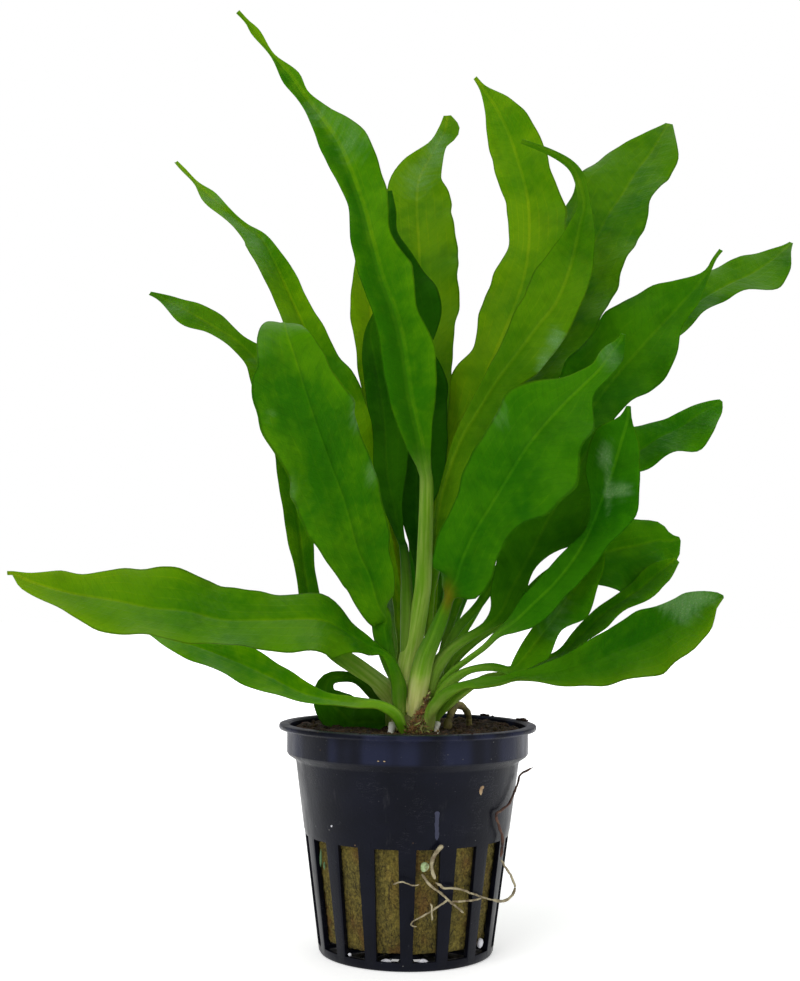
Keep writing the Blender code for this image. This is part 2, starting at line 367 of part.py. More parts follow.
def turned(name, profile, steps, group, material):
    """Turn a profile of (radius, height) around the Z axis."""
    outline = bmesh.new()
    corners = [outline.verts.new((r * MM, 0.0, z * MM)) for r, z in profile]
    for first, second in zip(corners, corners[1:]):
        outline.edges.new((first, second))
    mesh = bpy.data.meshes.new(name)
    outline.to_mesh(mesh)
    outline.free()
    item = place(name, mesh, group, material)
    screw = item.modifiers.new("turn", "SCREW")
    screw.steps = steps
    screw.render_steps = steps
    screw.use_merge_vertices = True
    screw.merge_threshold = 0.00001
    return item


def wall_radius(height):
    """Outer radius of the tapered wall at a height, in millimetres."""
    share = min(max(height / WALL_TOP, 0.0), 1.0)
    return BASE_RADIUS + (WALL_TOP_RADIUS - BASE_RADIUS) * share


def make_pot(group, cutters):
    """The slotted pot: one turned cup, with its wall and floor slots cut through."""
    inner_lip = COLLAR_RADIUS - WALL_THICKNESS
    inner_wall = WALL_TOP_RADIUS - WALL_THICKNESS
    profile = [
        (0.0, FLOOR_THICKNESS),
        (wall_radius(FLOOR_THICKNESS) - WALL_THICKNESS, FLOOR_THICKNESS),
        (inner_wall, WALL_TOP + 1.2),
        (inner_lip, COLLAR_BOTTOM + 1.0),
        (inner_lip, POT_HEIGHT - 0.4),
        (inner_lip + 0.4, POT_HEIGHT),
        (LIP_RADIUS - 0.4, POT_HEIGHT),
        (LIP_RADIUS, POT_HEIGHT - 0.5),
        (LIP_RADIUS - 0.3, POT_HEIGHT - LIP_THICKNESS),
        (COLLAR_RADIUS, POT_HEIGHT - LIP_THICKNESS - 0.2),
        (COLLAR_RADIUS, COLLAR_BOTTOM + 0.4),
        (COLLAR_RADIUS - 0.6, COLLAR_BOTTOM - 0.2),
        (WALL_TOP_RADIUS, WALL_TOP),
        (wall_radius(0.7), 0.7),
        (BASE_RADIUS - 0.7, 0.0),
        (0.0, 0.0),
    ]
    pot = turned("pot", profile, POT_STEPS, group, finish("pot black", (0.012, 0.013, 0.018, 1.0), 0.35))
    boxes = bmesh.new()
    for number in range(SLOT_COUNT):
        turn = 2 * math.pi * (number + 0.5) / SLOT_COUNT
        add_slot(boxes, turn, SLOT_WIDTH, BASE_RADIUS - 3.5, LIP_RADIUS, SLOT_BOTTOM, SLOT_TOP)
        add_slot(boxes, turn, FLOOR_SLOT_WIDTH, FLOOR_SLOT_INNER, FLOOR_SLOT_OUTER, -1.0, 1.6)
    mesh = bpy.data.meshes.new("slots")
    boxes.to_mesh(mesh)
    boxes.free()
    slots = bpy.data.objects.new("slots", mesh)
    cutters.objects.link(slots)
    slots.hide_render = True
    slots.display_type = "WIRE"
    cut = pot.modifiers.new("slots", "BOOLEAN")
    cut.operation = "DIFFERENCE"
    cut.object = slots
    return pot


def add_slot(boxes, turn, width, inner, outer, bottom, top):
    """Add one box to the cutter: it points away from the axis, at the angle turn."""
    made = bmesh.ops.create_cube(boxes, size=1.0)
    across = Vector((-math.sin(turn), math.cos(turn), 0.0))
    outward = Vector((math.cos(turn), math.sin(turn), 0.0))
    for vertex in made["verts"]:
        out = (inner + outer) / 2 + vertex.co.x * (outer - inner)
        height = (bottom + top) / 2 + vertex.co.z * (top - bottom)
        side = vertex.co.y * width
        vertex.co = (outward * out + across * side + Vector((0, 0, height))) * MM


def make_plug(group):
    """The rock wool plug, a little proud in the middle of its top."""
    def inside(height):
        return wall_radius(height) - WALL_THICKNESS - GAP - 0.1

    profile = [
        (0.0, PLUG_TOP),
        (12.0, PLUG_TOP - 0.1),
        (20.0, PLUG_TOP - 0.3),
        (inside(WALL_TOP) - 0.3, PLUG_TOP_EDGE),
        (inside(WALL_TOP), WALL_TOP),
        (inside(22.0), 22.0),
        (inside(PLUG_BOTTOM + 1.0), PLUG_BOTTOM + 1.0),
        (inside(PLUG_BOTTOM) - 1.0, PLUG_BOTTOM),
        (0.0, PLUG_BOTTOM),
    ]
    turned("rock_wool", profile, 32, group, finish("rock wool", (0.16, 0.12, 0.035, 1.0), 0.95))


def make_crown(group):
    """The crown: a fleshy stump, narrow where it leaves the plug, that leans a little to the right."""
    rings = [(radius, height - CROWN_BOTTOM) for radius, height in CROWN_RINGS[::-1]]
    profile = [(0.0, rings[0][1])] + rings + [(0.0, rings[-1][1])]
    crown = turned("crown", profile, CROWN_STEPS, group, finish("crown", (0.45, 0.5, 0.22, 1.0), 0.5))
    height = CROWN_RINGS[-1][1] - CROWN_BOTTOM
    crown.location = (CROWN_FOOT[0] * MM, CROWN_FOOT[1] * MM, CROWN_BOTTOM * MM)
    crown.rotation_euler = (
        math.atan2(CROWN_FOOT[1] - CROWN_HEAD[1], height),
        math.atan2(CROWN_HEAD[0] - CROWN_FOOT[0], height),
        0.0,
    )


def leaf_frame(leaf, places, number):
    """Midrib point, side direction, face direction and widths of a leaf at one row."""
    x, y, z, left, right = curve_point(leaf.stations, places[number])
    ahead = Vector(curve_point(leaf.stations, min(places[number] + 0.02, len(leaf.stations) - 1))[:3])
    behind = Vector(curve_point(leaf.stations, max(places[number] - 0.02, 0.0))[:3])
    along = (ahead - behind).normalized()
    share = number / (len(places) - 1)
    facing = Vector(leaf.facing[0]).lerp(Vector(leaf.facing[1]), share)
    face = (facing - along * facing.dot(along)).normalized()
    side = along.cross(face)
    return Vector((x, y, z)), side, face, left, right


def make_leaf(leaf, group, materials):
    """One leaf: a grid laid along the midrib and given thickness by Solidify."""
    grid = bmesh.new()
    bmesh.ops.create_grid(grid, x_segments=LEAF_COLUMNS, y_segments=leaf.rows, size=1.0)
    mesh = bpy.data.meshes.new(leaf.name)
    grid.to_mesh(mesh)
    grid.free()
    places = even_places(leaf.stations, leaf.rows)
    rise = math.radians(leaf.fold)
    blade = []
    for vertex in mesh.vertices:
        number = round((vertex.co.y + 1) / 2 * leaf.rows)
        across = vertex.co.x
        middle, side, face, left, right = leaf_frame(leaf, places, number)
        width = right if across > 0 else left
        spread = side * math.cos(rise) * across * width + face * math.sin(rise) * abs(across) * width
        vertex.co = (middle + spread) * MM
        blade.append(min((left + right) / 6, 1.0))
    item = place(leaf.name, mesh, group, materials[leaf.colour])
    thick = item.vertex_groups.new(name="thickness")
    for index, share in enumerate(blade):
        thin = PETIOLE_THICKNESS + (BLADE_THICKNESS - PETIOLE_THICKNESS) * share
        thick.add([index], thin / PETIOLE_THICKNESS, "REPLACE")
    solid = item.modifiers.new("thickness", "SOLIDIFY")
    solid.thickness = PETIOLE_THICKNESS * MM
    solid.offset = 0.0
    solid.vertex_group = thick.name
    return item


def make_root(name, radius, points, group, material):
    """One root: a thin tube along a smooth curve, welded shut at its ends."""
    length = sum((Vector(b) - Vector(a)).length for a, b in zip(points, points[1:]))
    count = max(2, round(length / ROOT_SPACING))
    line = bpy.data.curves.new(name, "CURVE")
    line.dimensions = "3D"
    line.bevel_depth = radius * MM
    line.bevel_resolution = 1
    line.use_fill_caps = True
    spline = line.splines.new("POLY")
    spline.points.add(count)
    for point, where in zip(spline.points, even_places(points, count)):
        x, y, z = curve_point(points, where)
        point.co = (x * MM, y * MM, z * MM, 1.0)
    item = bpy.data.objects.new(name, line)
    group.objects.link(item)
    line.materials.append(material)
    return item


def make_bud(group, material):
    """The small green bud beside the thick root."""
    ball = bmesh.new()
    bmesh.ops.create_uvsphere(ball, u_segments=10, v_segments=6, radius=BUD_RADIUS * MM)
    bmesh.ops.translate(ball, verts=ball.verts, vec=Vector(BUD_PLACE) * MM)
    mesh = bpy.data.meshes.new("root_bud")
    ball.to_mesh(mesh)
    ball.free()
    place("root_bud", mesh, group, material)


def main():
    clear_scene()
    group = collection("potted_echinodorus")
    cutters = collection("cutters")
    make_pot(group, cutters)
    make_plug(group)
    make_crown(group)
    greens = {
        LEAF_GREEN: finish("leaf green", LEAF_GREEN, 0.4),
        LEAF_LIGHT: finish("leaf light green", LEAF_LIGHT, 0.4),
        LEAF_DARK: finish("leaf dark green", LEAF_DARK, 0.4),
    }
    for leaf in LEAVES:
        make_leaf(leaf, group, greens)
    pale = finish("root cream", (0.42, 0.34, 0.22, 1.0), 0.7)
    brown = finish("root brown", (0.07, 0.035, 0.02, 1.0), 0.8)
    for name, (radius, points) in ROOTS.items():
        aged = name in ("root_brown", "root_loop", "old_stalk")
        make_root(name, radius, points, group, brown if aged else pale)
    make_bud(group, finish("bud green", (0.28, 0.36, 0.18, 1.0), 0.6))


main()
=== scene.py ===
"""Visual model of a potted sword plant: a rosette of wavy leaves on a fleshy crown, rooted in rock
wool in a small black net pot, standing on a plain pale floor.

Metres, +Z up, with -Y as the front. The tables are in millimetres and are scaled by MM.
"""

import logging
import math
from dataclasses import dataclass, field
from enum import Enum

import bpy
import numpy as np
from mathutils import Euler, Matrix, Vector


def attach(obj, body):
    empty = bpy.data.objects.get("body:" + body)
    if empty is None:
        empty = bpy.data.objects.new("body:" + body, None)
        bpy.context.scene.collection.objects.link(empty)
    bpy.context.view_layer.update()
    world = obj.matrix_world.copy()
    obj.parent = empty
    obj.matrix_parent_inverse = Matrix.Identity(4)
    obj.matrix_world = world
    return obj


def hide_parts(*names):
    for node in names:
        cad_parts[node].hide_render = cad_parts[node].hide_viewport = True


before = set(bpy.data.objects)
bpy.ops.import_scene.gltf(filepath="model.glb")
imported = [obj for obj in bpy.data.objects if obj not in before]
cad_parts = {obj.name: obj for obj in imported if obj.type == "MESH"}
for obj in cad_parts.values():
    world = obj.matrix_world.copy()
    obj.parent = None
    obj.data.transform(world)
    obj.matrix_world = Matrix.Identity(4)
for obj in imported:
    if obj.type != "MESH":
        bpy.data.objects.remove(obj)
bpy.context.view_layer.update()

LOG = logging.getLogger("potted_echinodorus")
MM = 0.001
BODY = "root"

# What can be fed to a shader socket, and one number or many.
Socket = bpy.types.NodeSocket
Value = Socket | float | tuple | None
Numbers = float | np.ndarray

# The pot, as its CAD solid has it.
LIP_RADIUS = 27.5
LIP_THICKNESS = 1.1
POT_HEIGHT = 47.5
COLLAR_RADIUS = 25.8
COLLAR_BOTTOM = 41.0
WALL_TOP_RADIUS = 23.8
WALL_TOP = 40.0
BASE_RADIUS = 18.4
WALL_THICKNESS = 1.0
COLLAR_THICKNESS = 0.6
FLOOR_THICKNESS = 1.2
SLOT_COUNT = 16
SLOT_BOTTOM = 1.9
SLOT_TOP = 24.5
SLOT_WIDTH = 4.9
FLOOR_SLOT_WIDTH = 2.4
FLOOR_SLOT_INNER = 8.5
FLOOR_SLOT_OUTER = 16.4

# The rock wool: its underside, the top of its soil, and radius and height of its shoulder.
PLUG_BOTTOM = 3.4
SOIL_TOP = 46.5
PLUG_SHOULDER = ((23.6, 40.6), (24.2, 41.6), (24.3, 43.2), (24.3, 44.4), (24.1, 45.0))

# The crown's axis leans from its foot to its head.
CROWN_BOTTOM = 45.1
CROWN_TOP = 61.9
CROWN_FOOT = (0.6, -1.8)
CROWN_HEAD = (1.8, -1.0)

# The stump in the crown: height and radius.
STUMP = (
    (45.1, 3.2), (46.0, 4.0), (47.5, 4.2), (50.0, 3.9), (53.0, 3.4), (56.0, 2.9), (58.5, 2.3), (60.5, 1.4),
)

# Where the torn tissue runs down the crown's front: x, y and z, and how far the shreds spread.
SCAR = (
    (4.6, -8.0, 54.9, 0.35), (3.6, -9.4, 52.6, 0.5), (2.9, -10.2, 50.6, 0.8),
    (2.0, -10.2, 48.8, 1.3), (1.6, -9.8, 47.2, 2.2), (1.8, -9.4, 46.0, 3.2),
)

# Height of a petiole's foot from which its sheath has a second station.
HIGH_FOOT = 50.0

# The narrowest that half a leaf gets.
NARROWEST_HALF = 0.25

# A mesh's colour layer, its UV map in shares of the blade and its UV map in centimetres.
PAINT_LAYER = "tissue"
SHARE_MAP = "blade"
METRIC_MAP = "metric"

# The long veins in each half of a blade: place and width, as shares of the half.
LONG_VEINS = ((0.27, 0.014), (0.52, 0.012), (0.76, 0.010))

# The cross veins: how far apart they lie, in centimetres, and how steeply they run to the margin.
CROSS_VEIN_SPACING = 0.33
CROSS_VEIN_SLANT = 0.8

# The small waves of a margin: height, and length over 2 pi.
MARGIN_WAVES = ((1.0, 0.95), (1.3, 1.7), (1.5, 2.9))

WHITE = (1.0, 1.0, 1.0, 1.0)

# Leaf colours that are mixed in, the paired ones from dull to bright.
YELLOWED = (0.135, 0.260, 0.002, 1.0)
RUST = (0.155, 0.085, 0.004, 1.0)
# Painted sheen: the grey-green of glossy reflections, laid on a leaf as colour, from dull to bright.
PAINTED_SHEEN = ((0.085, 0.200, 0.055, 1.0), (0.150, 0.260, 0.105, 1.0))
PALE_GREEN = ((0.125, 0.270, 0.014, 1.0), (0.260, 0.375, 0.065, 1.0))
CREAM = ((0.44, 0.46, 0.11, 1.0), (0.66, 0.64, 0.27, 1.0))

# What a leaf's colour is multiplied by.
# Painted shade: a leaf half or foot darkened as if shade fell on it.
PAINTED_SHADE_TINT = (0.30, 0.42, 0.40, 1.0)
CROSS_TINT = (0.72, 0.80, 1.0, 1.0)
LONG_TINT = (1.8, 1.25, 2.0, 1.0)
UNDERSIDE_TINT = (1.18, 1.06, 1.3, 1.0)
BLOTCH_TINT = (0.72, 0.78, 0.7, 1.0)
RIB_TINT = (2.3, 1.45, 3.0, 1.0)
MARGIN_TINT = (0.42, 0.36, 0.6, 1.0)

# Colours of the pot, the wool and its soil, each from dark to light.
POT_BLACK = ((0.0018, 0.0021, 0.0048, 1.0), (0.0036, 0.0041, 0.0092, 1.0))
WOOL_OLIVE = ((0.030, 0.023, 0.004, 1.0), (0.200, 0.152, 0.028, 1.0))
SOIL_BROWN = ((0.012, 0.006, 0.004, 1.0), (0.085, 0.036, 0.019, 1.0))

# Specks on the pot: distance between them, size as a share of it, strength and colour.
SPECKS = (
    (1.7, 0.08, 0.80, (0.30, 0.30, 0.28, 1.0)),
    (2.9, 0.08, 0.85, (0.16, 0.10, 0.05, 1.0)),
    (0.9, 0.12, 0.40, (0.14, 0.14, 0.15, 1.0)),
)

# The lights, in metres: name, place, power in watts and side.
LIGHTS = (
    ("key", (-0.45, -0.65, 0.75), 5.2, 0.7),
    ("fill", (0.65, -0.45, 0.35), 1.3, 0.8),
    ("top", (0.1, 0.35, 0.9), 3.0, 0.8),
)
LIGHT_TARGET = (0.0, 0.0, 0.1)

# How brightly the even light shines on the plant, where the camera sees pure white.
AMBIENT = 0.42

# How far the floor reaches, in metres.
FLOOR_REACH = 3.0

# The camera: its place in millimetres, its angles in radians and its lens.
CAMERA_PLACE = (-2.09, -300.0, 74.8)
CAMERA_PITCH = 0.0755
CAMERA_ROLL = 0.0089
SENSOR_WIDTH = 36.0
FOCAL_PIXELS = 1384.6
PICTURE_HEIGHT = 981


class Tone(Enum):
    """A leaf's deep and light colour: even green, a backlit copy with painted light and a shaded copy with
    painted shade.
    """

    GREEN = ((0.015, 0.125, 0.0004, 1.0), (0.048, 0.205, 0.0006, 1.0))
    LIGHT = ((0.048, 0.170, 0.0004, 1.0), (0.105, 0.245, 0.001, 1.0))
    DARK = ((0.008, 0.070, 0.0003, 1.0), (0.026, 0.125, 0.0006, 1.0))


@dataclass(frozen=True)
class LeafShape:
    """One leaf with its petiole, as its CAD solid has it.

    Attributes:
        name: The CAD node.
        tone: Its colours, with painted light on backlit leaves and painted shade on shaded ones.
        fold: Angle in degrees by which each half rises from the midrib.
        facing: Direction that the front face looks in, at the foot and at the tip.
        stations: x, y, z of the midrib and the widths to its left and right margins, foot to tip.
    """

    name: str
    tone: Tone
    fold: float
    facing: tuple
    stations: list


@dataclass(frozen=True)
class LeafTraits:
    """What sets one leaf's surface apart from that of the others.

    Attributes:
        rib: Half width of the lighter band along the midrib.
        rib_glow: How much that band stands out.
        pale: How bleached the petiole is at each height: 1 is pale green and 2 is cream.
        ruffle: Depth of the margin's waves, as a share of the half width.
        underside: True where the underside, with its raised midrib, faces the front.
        patches: Patches of painted sheen as (x, z, radius x, radius z, strength), and rusty ones below 0.
        tint: What the red and the green of its colours are multiplied by: the leaf's own colour, with painted
            light on leaves in shade and painted shade on inner ones.
        halves: Yellowing of the left and of the right half, and painted shade below 0.
        aging_and_shade: The same at the foot and at the tip.
        fuller: Extra width of the left and of the right half at each height.
    """

    rib: float = 0.4
    rib_glow: float = 0.35
    pale: tuple = ((46, 1.3), (50, 1.0), (56, 0.6), (66, 0.25), (74, 0))
    ruffle: float = 0.10
    underside: bool = False
    patches: tuple = ()
    tint: tuple = (1.0, 1.0)
    halves: tuple = (0.0, 0.0)
    aging_and_shade: tuple = (0.0, 0.3)
    fuller: tuple = ()


LEAVES = [
    LeafShape("leaf_tall_centre", Tone.GREEN, 10, ((0.15, -1, 0.1), (-0.3, -1, 0.2)), [
        (1.5, -3.6, 62.6, 1, 1), (1.5, -4.5, 68.5, 1, 1), (2.5, -6.5, 76, 1.5, 1.5),
        (3.5, -9.5, 97, 1.5, 1.5), (3, -10, 101.5, 1.5, 1.5), (2, -10, 107.5, 3.5, 2.5),
        (0, -11, 116, 4.5, 5.5), (-1.5, -11.5, 126, 5, 6.5), (-3.5, -12.5, 134, 4.5, 5),
        (-6.5, -12, 142, 4.5, 7), (-8.5, -12, 149.5, 4.5, 4.5), (-11, -10.5, 158.5, 3, 6),
        (-15.5, -10, 170, 4, 6.5), (-20, -9.5, 177, 2.5, 3), (-23.5, -9.5, 181.5, 1.5, 1.5),
        (-26.5, -9, 186, 2, 2), (-30.5, -8.5, 191, 0.5, 0.5), (-34, -9.5, 195.5, 1, 1),
        (-36, -9.5, 198, 0.5, 0.5), (-38, -10, 200, 0.5, 0.5)]),
    LeafShape("leaf_inner_dark", Tone.DARK, 8, ((0, -1, 0), (0, -1, 0.1)), [
        (2, -0.4, 62.6, 0.9, 0.9), (1.7, 1.5, 68, 1, 1), (2.5, 3.5, 78, 1, 1),
        (2, 4.5, 86, 2, 1.5), (1.5, 5, 92.5, 3.5, 3), (1.5, 6, 102.5, 5.5, 6.5),
        (1, 7, 114, 6.5, 7.5), (0, 7.5, 122.5, 5.5, 8), (-1, 8, 130, 5.5, 6),
        (-1.5, 9, 137, 5.5, 8.5), (-2.5, 9.5, 143.5, 4.5, 8), (-3.5, 10, 150.5, 3, 4.5),
        (-4.5, 11, 157, 2, 1.5), (-5, 11.5, 162.5, 1.5, 1.5), (-5, 12, 167.5, 0.5, 0.5)]),
    LeafShape("leaf_inner_left", Tone.DARK, 10, ((0.15, -1, 0), (0.25, -1, 0)), [
        (-0.2, -1.6, 62.6, 0.9, 0.9), (0.4, -0.6, 68, 0.9, 0.9), (1.5, 0, 74, 1, 1),
        (0, 0, 81, 1, 1), (-2, 1, 87.5, 1, 1), (-3.5, 1.5, 94.5, 2.5, 2), (-5, 2, 102, 3, 4.5),
        (-5.5, 2, 111, 3, 5.5), (-6.5, 2, 118.5, 3.5, 5.5), (-8, 2, 127, 3, 4.5),
        (-9, 2, 132, 1.5, 2), (-8, 1, 136.5, 0.5, 0.5)]),
    LeafShape("leaf_inner_back", Tone.LIGHT, 8, ((0.3, -1, 0), (0.35, -1, 0)), [
        (0.3, 2.2, 62.6, 0.9, 0.9), (-0.5, 6, 68.5, 1, 1), (-2.5, 9, 81.5, 1, 1),
        (-4.5, 11, 94, 1.5, 1.5), (-6, 13, 107.5, 3.5, 3), (-7.5, 15, 119.5, 3.5, 4),
        (-8.5, 16.5, 127.5, 4, 4), (-9, 18, 136, 5, 4), (-9.5, 19.5, 143.5, 5, 4),
        (-10, 21.5, 153, 3.5, 3.5), (-10, 23, 160, 2.5, 2), (-10.5, 24, 165.5, 0.5, 0.5)]),
    LeafShape("leaf_top_back", Tone.LIGHT, 8, ((-0.15, -1, 0), (-0.3, -1, 0.2)), [
        (2.6, 2.2, 62.6, 0.9, 0.9), (2.5, 8, 68.5, 1, 1), (3.5, 11.5, 82.5, 1, 1),
        (4.5, 16, 96.5, 2.5, 2.5), (5, 19.5, 108.5, 4.5, 4.5), (4.5, 23, 120.5, 5.5, 5.5),
        (4, 26, 130.5, 6.5, 6.5), (3.5, 29.5, 141, 7, 8.5), (2.5, 32.5, 151.5, 8, 10),
        (2, 35.5, 162, 8, 9.5), (1.5, 38.5, 171.5, 8, 9), (2, 39.5, 178.5, 7.5, 6.5),
        (4.5, 40.5, 184, 4.5, 4), (6.5, 41, 188, 2, 3), (8.5, 40.5, 191.5, 2, 4),
        (9, 41, 195.5, 1, 1)]),
    LeafShape("leaf_tall_left", Tone.GREEN, 22, ((0.35, -1, 0.1), (0.6, -1, 0.1)), [
        (-1.7, 0.6, 62.6, 0.9, 0.9), (-2.3, 3, 69, 1, 1), (-2.5, 4.5, 74, 1.5, 1),
        (-5, 6.5, 86, 2, 1.5), (-8.5, 8.5, 97, 4.5, 3), (-12.5, 9.5, 107.5, 6.5, 5),
        (-16.5, 11, 118, 7.5, 6.5), (-20.5, 12.5, 127, 7, 5), (-24, 13.5, 135, 6.5, 4),
        (-27.5, 14, 142.5, 5.5, 3.5), (-31, 14, 150, 6.5, 3), (-34.5, 15, 156.5, 6, 1.5),
        (-38.5, 15, 159.5, 3.5, 1), (-43, 16, 163.5, 3, 1), (-47, 16, 167, 3, 1.5),
        (-50, 15.5, 170, 1, 0.5), (-53, 15.5, 173, 1, 0.5), (-55, 16, 175, 0.5, 0.5)]),
    LeafShape("leaf_front_left", Tone.GREEN, 6, ((0.3, -1, 0.1), (0.15, -0.6, 1)), [
        (-1.4, -4.2, 62.6, 1, 1), (-2.5, -7.5, 65.5, 1.5, 1.5), (-5, -9.5, 69.5, 2.5, 2),
        (-6.5, -12, 72, 3.5, 4.5), (-8.5, -13.5, 78.5, 6, 6), (-11, -15.5, 84, 7.5, 8),
        (-13.5, -19, 93, 11, 9), (-16.5, -22.5, 101, 12.5, 10), (-19, -26, 108, 12, 11),
        (-21, -28, 114, 11.5, 8.5), (-23, -29.5, 120.5, 10.5, 7), (-24.5, -30, 125, 6, 5),
        (-25.5, -26.5, 128.5, 4, 3.5), (-26.5, -20.5, 129.5, 1.5, 1.5),
        (-27, -18, 128, 0.5, 0.5)]),
    LeafShape("leaf_arching_left", Tone.GREEN, 10, ((0.3, -0.9, 0.4), (0.45, -1, 0.2)), [
        (-5.8, -1.2, 53.2, 1.3, 1.1), (-7.6, -0.2, 55, 1.3, 1.2), (-10.5, 1.5, 58, 2, 1.5),
        (-14.5, 2.5, 61.5, 2.5, 2), (-18, 4, 65.5, 2.5, 2), (-20.5, 5.5, 69.5, 2.5, 2),
        (-22, 7, 74.5, 2.5, 2.5), (-23.5, 9, 82, 2.5, 2.5), (-24.5, 9.5, 89, 3.5, 3),
        (-26, 10.5, 98, 3.5, 3.5), (-27.5, 12, 106, 3.5, 3.5), (-29, 12, 114, 4.5, 3.5),
        (-32, 11, 121.5, 4.5, 3.5), (-35, 11, 127.5, 3, 3.5), (-39.5, 11, 132, 2.5, 2),
        (-45, 12, 135.5, 2.5, 3.5), (-50, 13, 138.5, 4, 3), (-54.5, 14, 141, 2.5, 2),
        (-57.5, 13.5, 142.5, 1, 1), (-60, 14, 143.5, 0.5, 0.5)]),
    LeafShape("leaf_long_left", Tone.GREEN, 8, ((0.2, -0.6, 0.8), (0.1, -0.8, 0.6)), [
        (-3.2, -6.8, 53.5, 1.8, 1.4), (-3.6, -8, 57.5, 2, 1.4), (-5, -9.5, 61.3, 2.2, 1.7),
        (-8, -11, 64, 3.5, 2), (-12, -12.5, 66.5, 6.5, 3.5), (-18, -15, 69.5, 12, 6.5),
        (-28.5, -18, 69.5, 9.5, 7), (-37.5, -20, 69.5, 8, 8.5), (-44.5, -22, 71.2, 9, 9.5),
        (-51.5, -23, 71.8, 8.5, 10), (-58.5, -24, 73.2, 9, 8), (-65.5, -24, 74.2, 6, 5),
        (-71, -25, 75.5, 4, 4.5), (-75.5, -25.5, 77, 2.5, 2), (-78.5, -25.5, 78.5, 0.5, 0.5),
        (-79.5, -26, 78.5, 0.5, 0.5)]),
    LeafShape("leaf_low_left", Tone.GREEN, 10, ((0.1, -0.6, 0.8), (0.1, -0.7, 0.7)), [
        (-1, -8.4, 47.2, 1.5, 1.3), (-2, -9, 49.5, 1.7, 1.4), (-4, -9, 51.5, 2, 1.5),
        (-7.5, -9.5, 52, 2, 1.5), (-11.5, -10, 52.5, 2, 1.5), (-15.5, -10.5, 53, 2, 1.5),
        (-18.5, -10.5, 53.5, 2.5, 2), (-22.5, -10, 54.5, 3.5, 3), (-27.5, -10, 57, 5, 4),
        (-33, -10, 59.5, 5.5, 4.5), (-38, -10, 61.5, 5.5, 4), (-43.5, -10, 63.5, 4.5, 3),
        (-48.5, -10, 65, 3.5, 2), (-52.5, -9.5, 66, 1.5, 1), (-54, -10, 66.5, 0.5, 0.5)]),
    LeafShape("leaf_drooping_left", Tone.DARK, 6, ((0, -1, 0.3), (0, -1, 0)), [
        (-5.6, 2.4, 50.5, 1, 1), (-8, 3.6, 53.4, 1, 1), (-11, 3.6, 56.3, 1, 1),
        (-14, 3.4, 57, 1.2, 1.2), (-17, 3, 56.5, 1.5, 1.5), (-18, 2, 54, 2.2, 2.6),
        (-16.5, 1, 51.5, 3.5, 4), (-14, 0, 49.2, 4.5, 4.5), (-12, -1, 47.6, 2.5, 2.5)]),
    LeafShape("leaf_tall_right", Tone.LIGHT, 6, ((-0.3, -1, 0), (-0.5, -1, 0.1)), [
        (4.8, -0.4, 62.6, 0.9, 0.9), (5, 1, 69, 1, 1), (5.5, 2.5, 76, 1, 1), (6, 4.5, 87, 1, 1),
        (7, 6.5, 96, 1.5, 1.5), (9.5, 7.5, 105, 1.5, 3), (12.5, 8, 113, 3.5, 4.5),
        (16, 9, 122, 7, 5.5), (19.5, 10, 130.5, 5.5, 6.5), (23, 12.5, 139, 7.5, 6),
        (25.5, 13.5, 146, 7.5, 7), (27, 14.5, 153.5, 5.5, 8.5), (27.5, 16.5, 161.5, 5, 9.5),
        (27, 17.5, 168.5, 5.5, 7.5), (25, 19, 177, 6, 7), (23, 20, 183.5, 5.5, 6.5),
        (20, 21.5, 190.5, 3, 4), (17, 22.5, 195.5, 1, 1), (15, 23, 198.5, 0.5, 0.5)]),
    LeafShape("leaf_bright_right", Tone.LIGHT, 8, ((-0.2, -1, 0), (-0.3, -1, 0.1)), [
        (4, -2.8, 62.6, 0.9, 0.9), (4.3, -3, 70, 1, 1), (4.5, -3.5, 74, 1, 1),
        (5.5, -5, 85.5, 1, 1), (6.5, -5, 94, 1, 2), (8.5, -5.5, 101.5, 1.2, 4),
        (11, -7, 108, 1.8, 6), (14.5, -7.5, 114, 2.6, 6), (18.5, -9, 120.5, 3, 4.5),
        (23, -10, 126.5, 4.5, 6.5), (27, -10.5, 132, 6, 6.5), (30.5, -11, 136.5, 7, 5.5),
        (33, -11.5, 142.5, 7, 5), (34.5, -11, 148, 4.5, 4.5), (35.5, -11.5, 153, 2.5, 3.5),
        (36.5, -11, 158, 1.5, 1.5), (35.5, -9.5, 164, 1, 1.5), (33.5, -8, 168, 1, 1),
        (29, -7.5, 171, 1, 0.5), (23.5, -7, 173, 0.5, 0.5)]),
    LeafShape("leaf_upper_right", Tone.GREEN, 6, ((-0.4, -1, 0.1), (-0.5, -1, 0.2)), [
        (4.7, 1.8, 62.6, 0.9, 0.9), (5.8, 5, 67, 1, 1), (7, 8, 76, 1, 1), (9.5, 11.5, 87.5, 1, 1),
        (13, 14.5, 99, 1.5, 1.5), (18, 18, 109.5, 2, 2.5), (23.5, 21, 119.5, 3.5, 4),
        (28.5, 23.5, 128, 5, 8.5), (33.5, 26, 137, 6.5, 10), (38, 28.5, 146, 8, 11),
        (41.5, 31, 154, 9.5, 10.5), (45, 33, 161.5, 11, 11), (48.5, 35, 168.5, 11.5, 10.5),
        (52.5, 37, 174.5, 12.5, 8.5), (56, 39, 180.5, 11, 9), (60, 41, 186, 8, 8),
        (63, 42.5, 191, 4, 4.5), (65.5, 44, 195, 1, 1)]),
    LeafShape("leaf_far_right", Tone.GREEN, 6, ((-0.3, -0.9, 0.4), (-0.3, -0.9, 0.5)), [
        (6.9, 1.2, 60.5, 0.9, 0.9), (9.5, 4.5, 69.5, 1, 1), (13.5, 7.5, 78.5, 1, 1),
        (20.5, 11, 89.5, 1.5, 2), (28.5, 14.5, 101.5, 2.5, 2.5), (36.5, 17.5, 112, 3.5, 3.5),
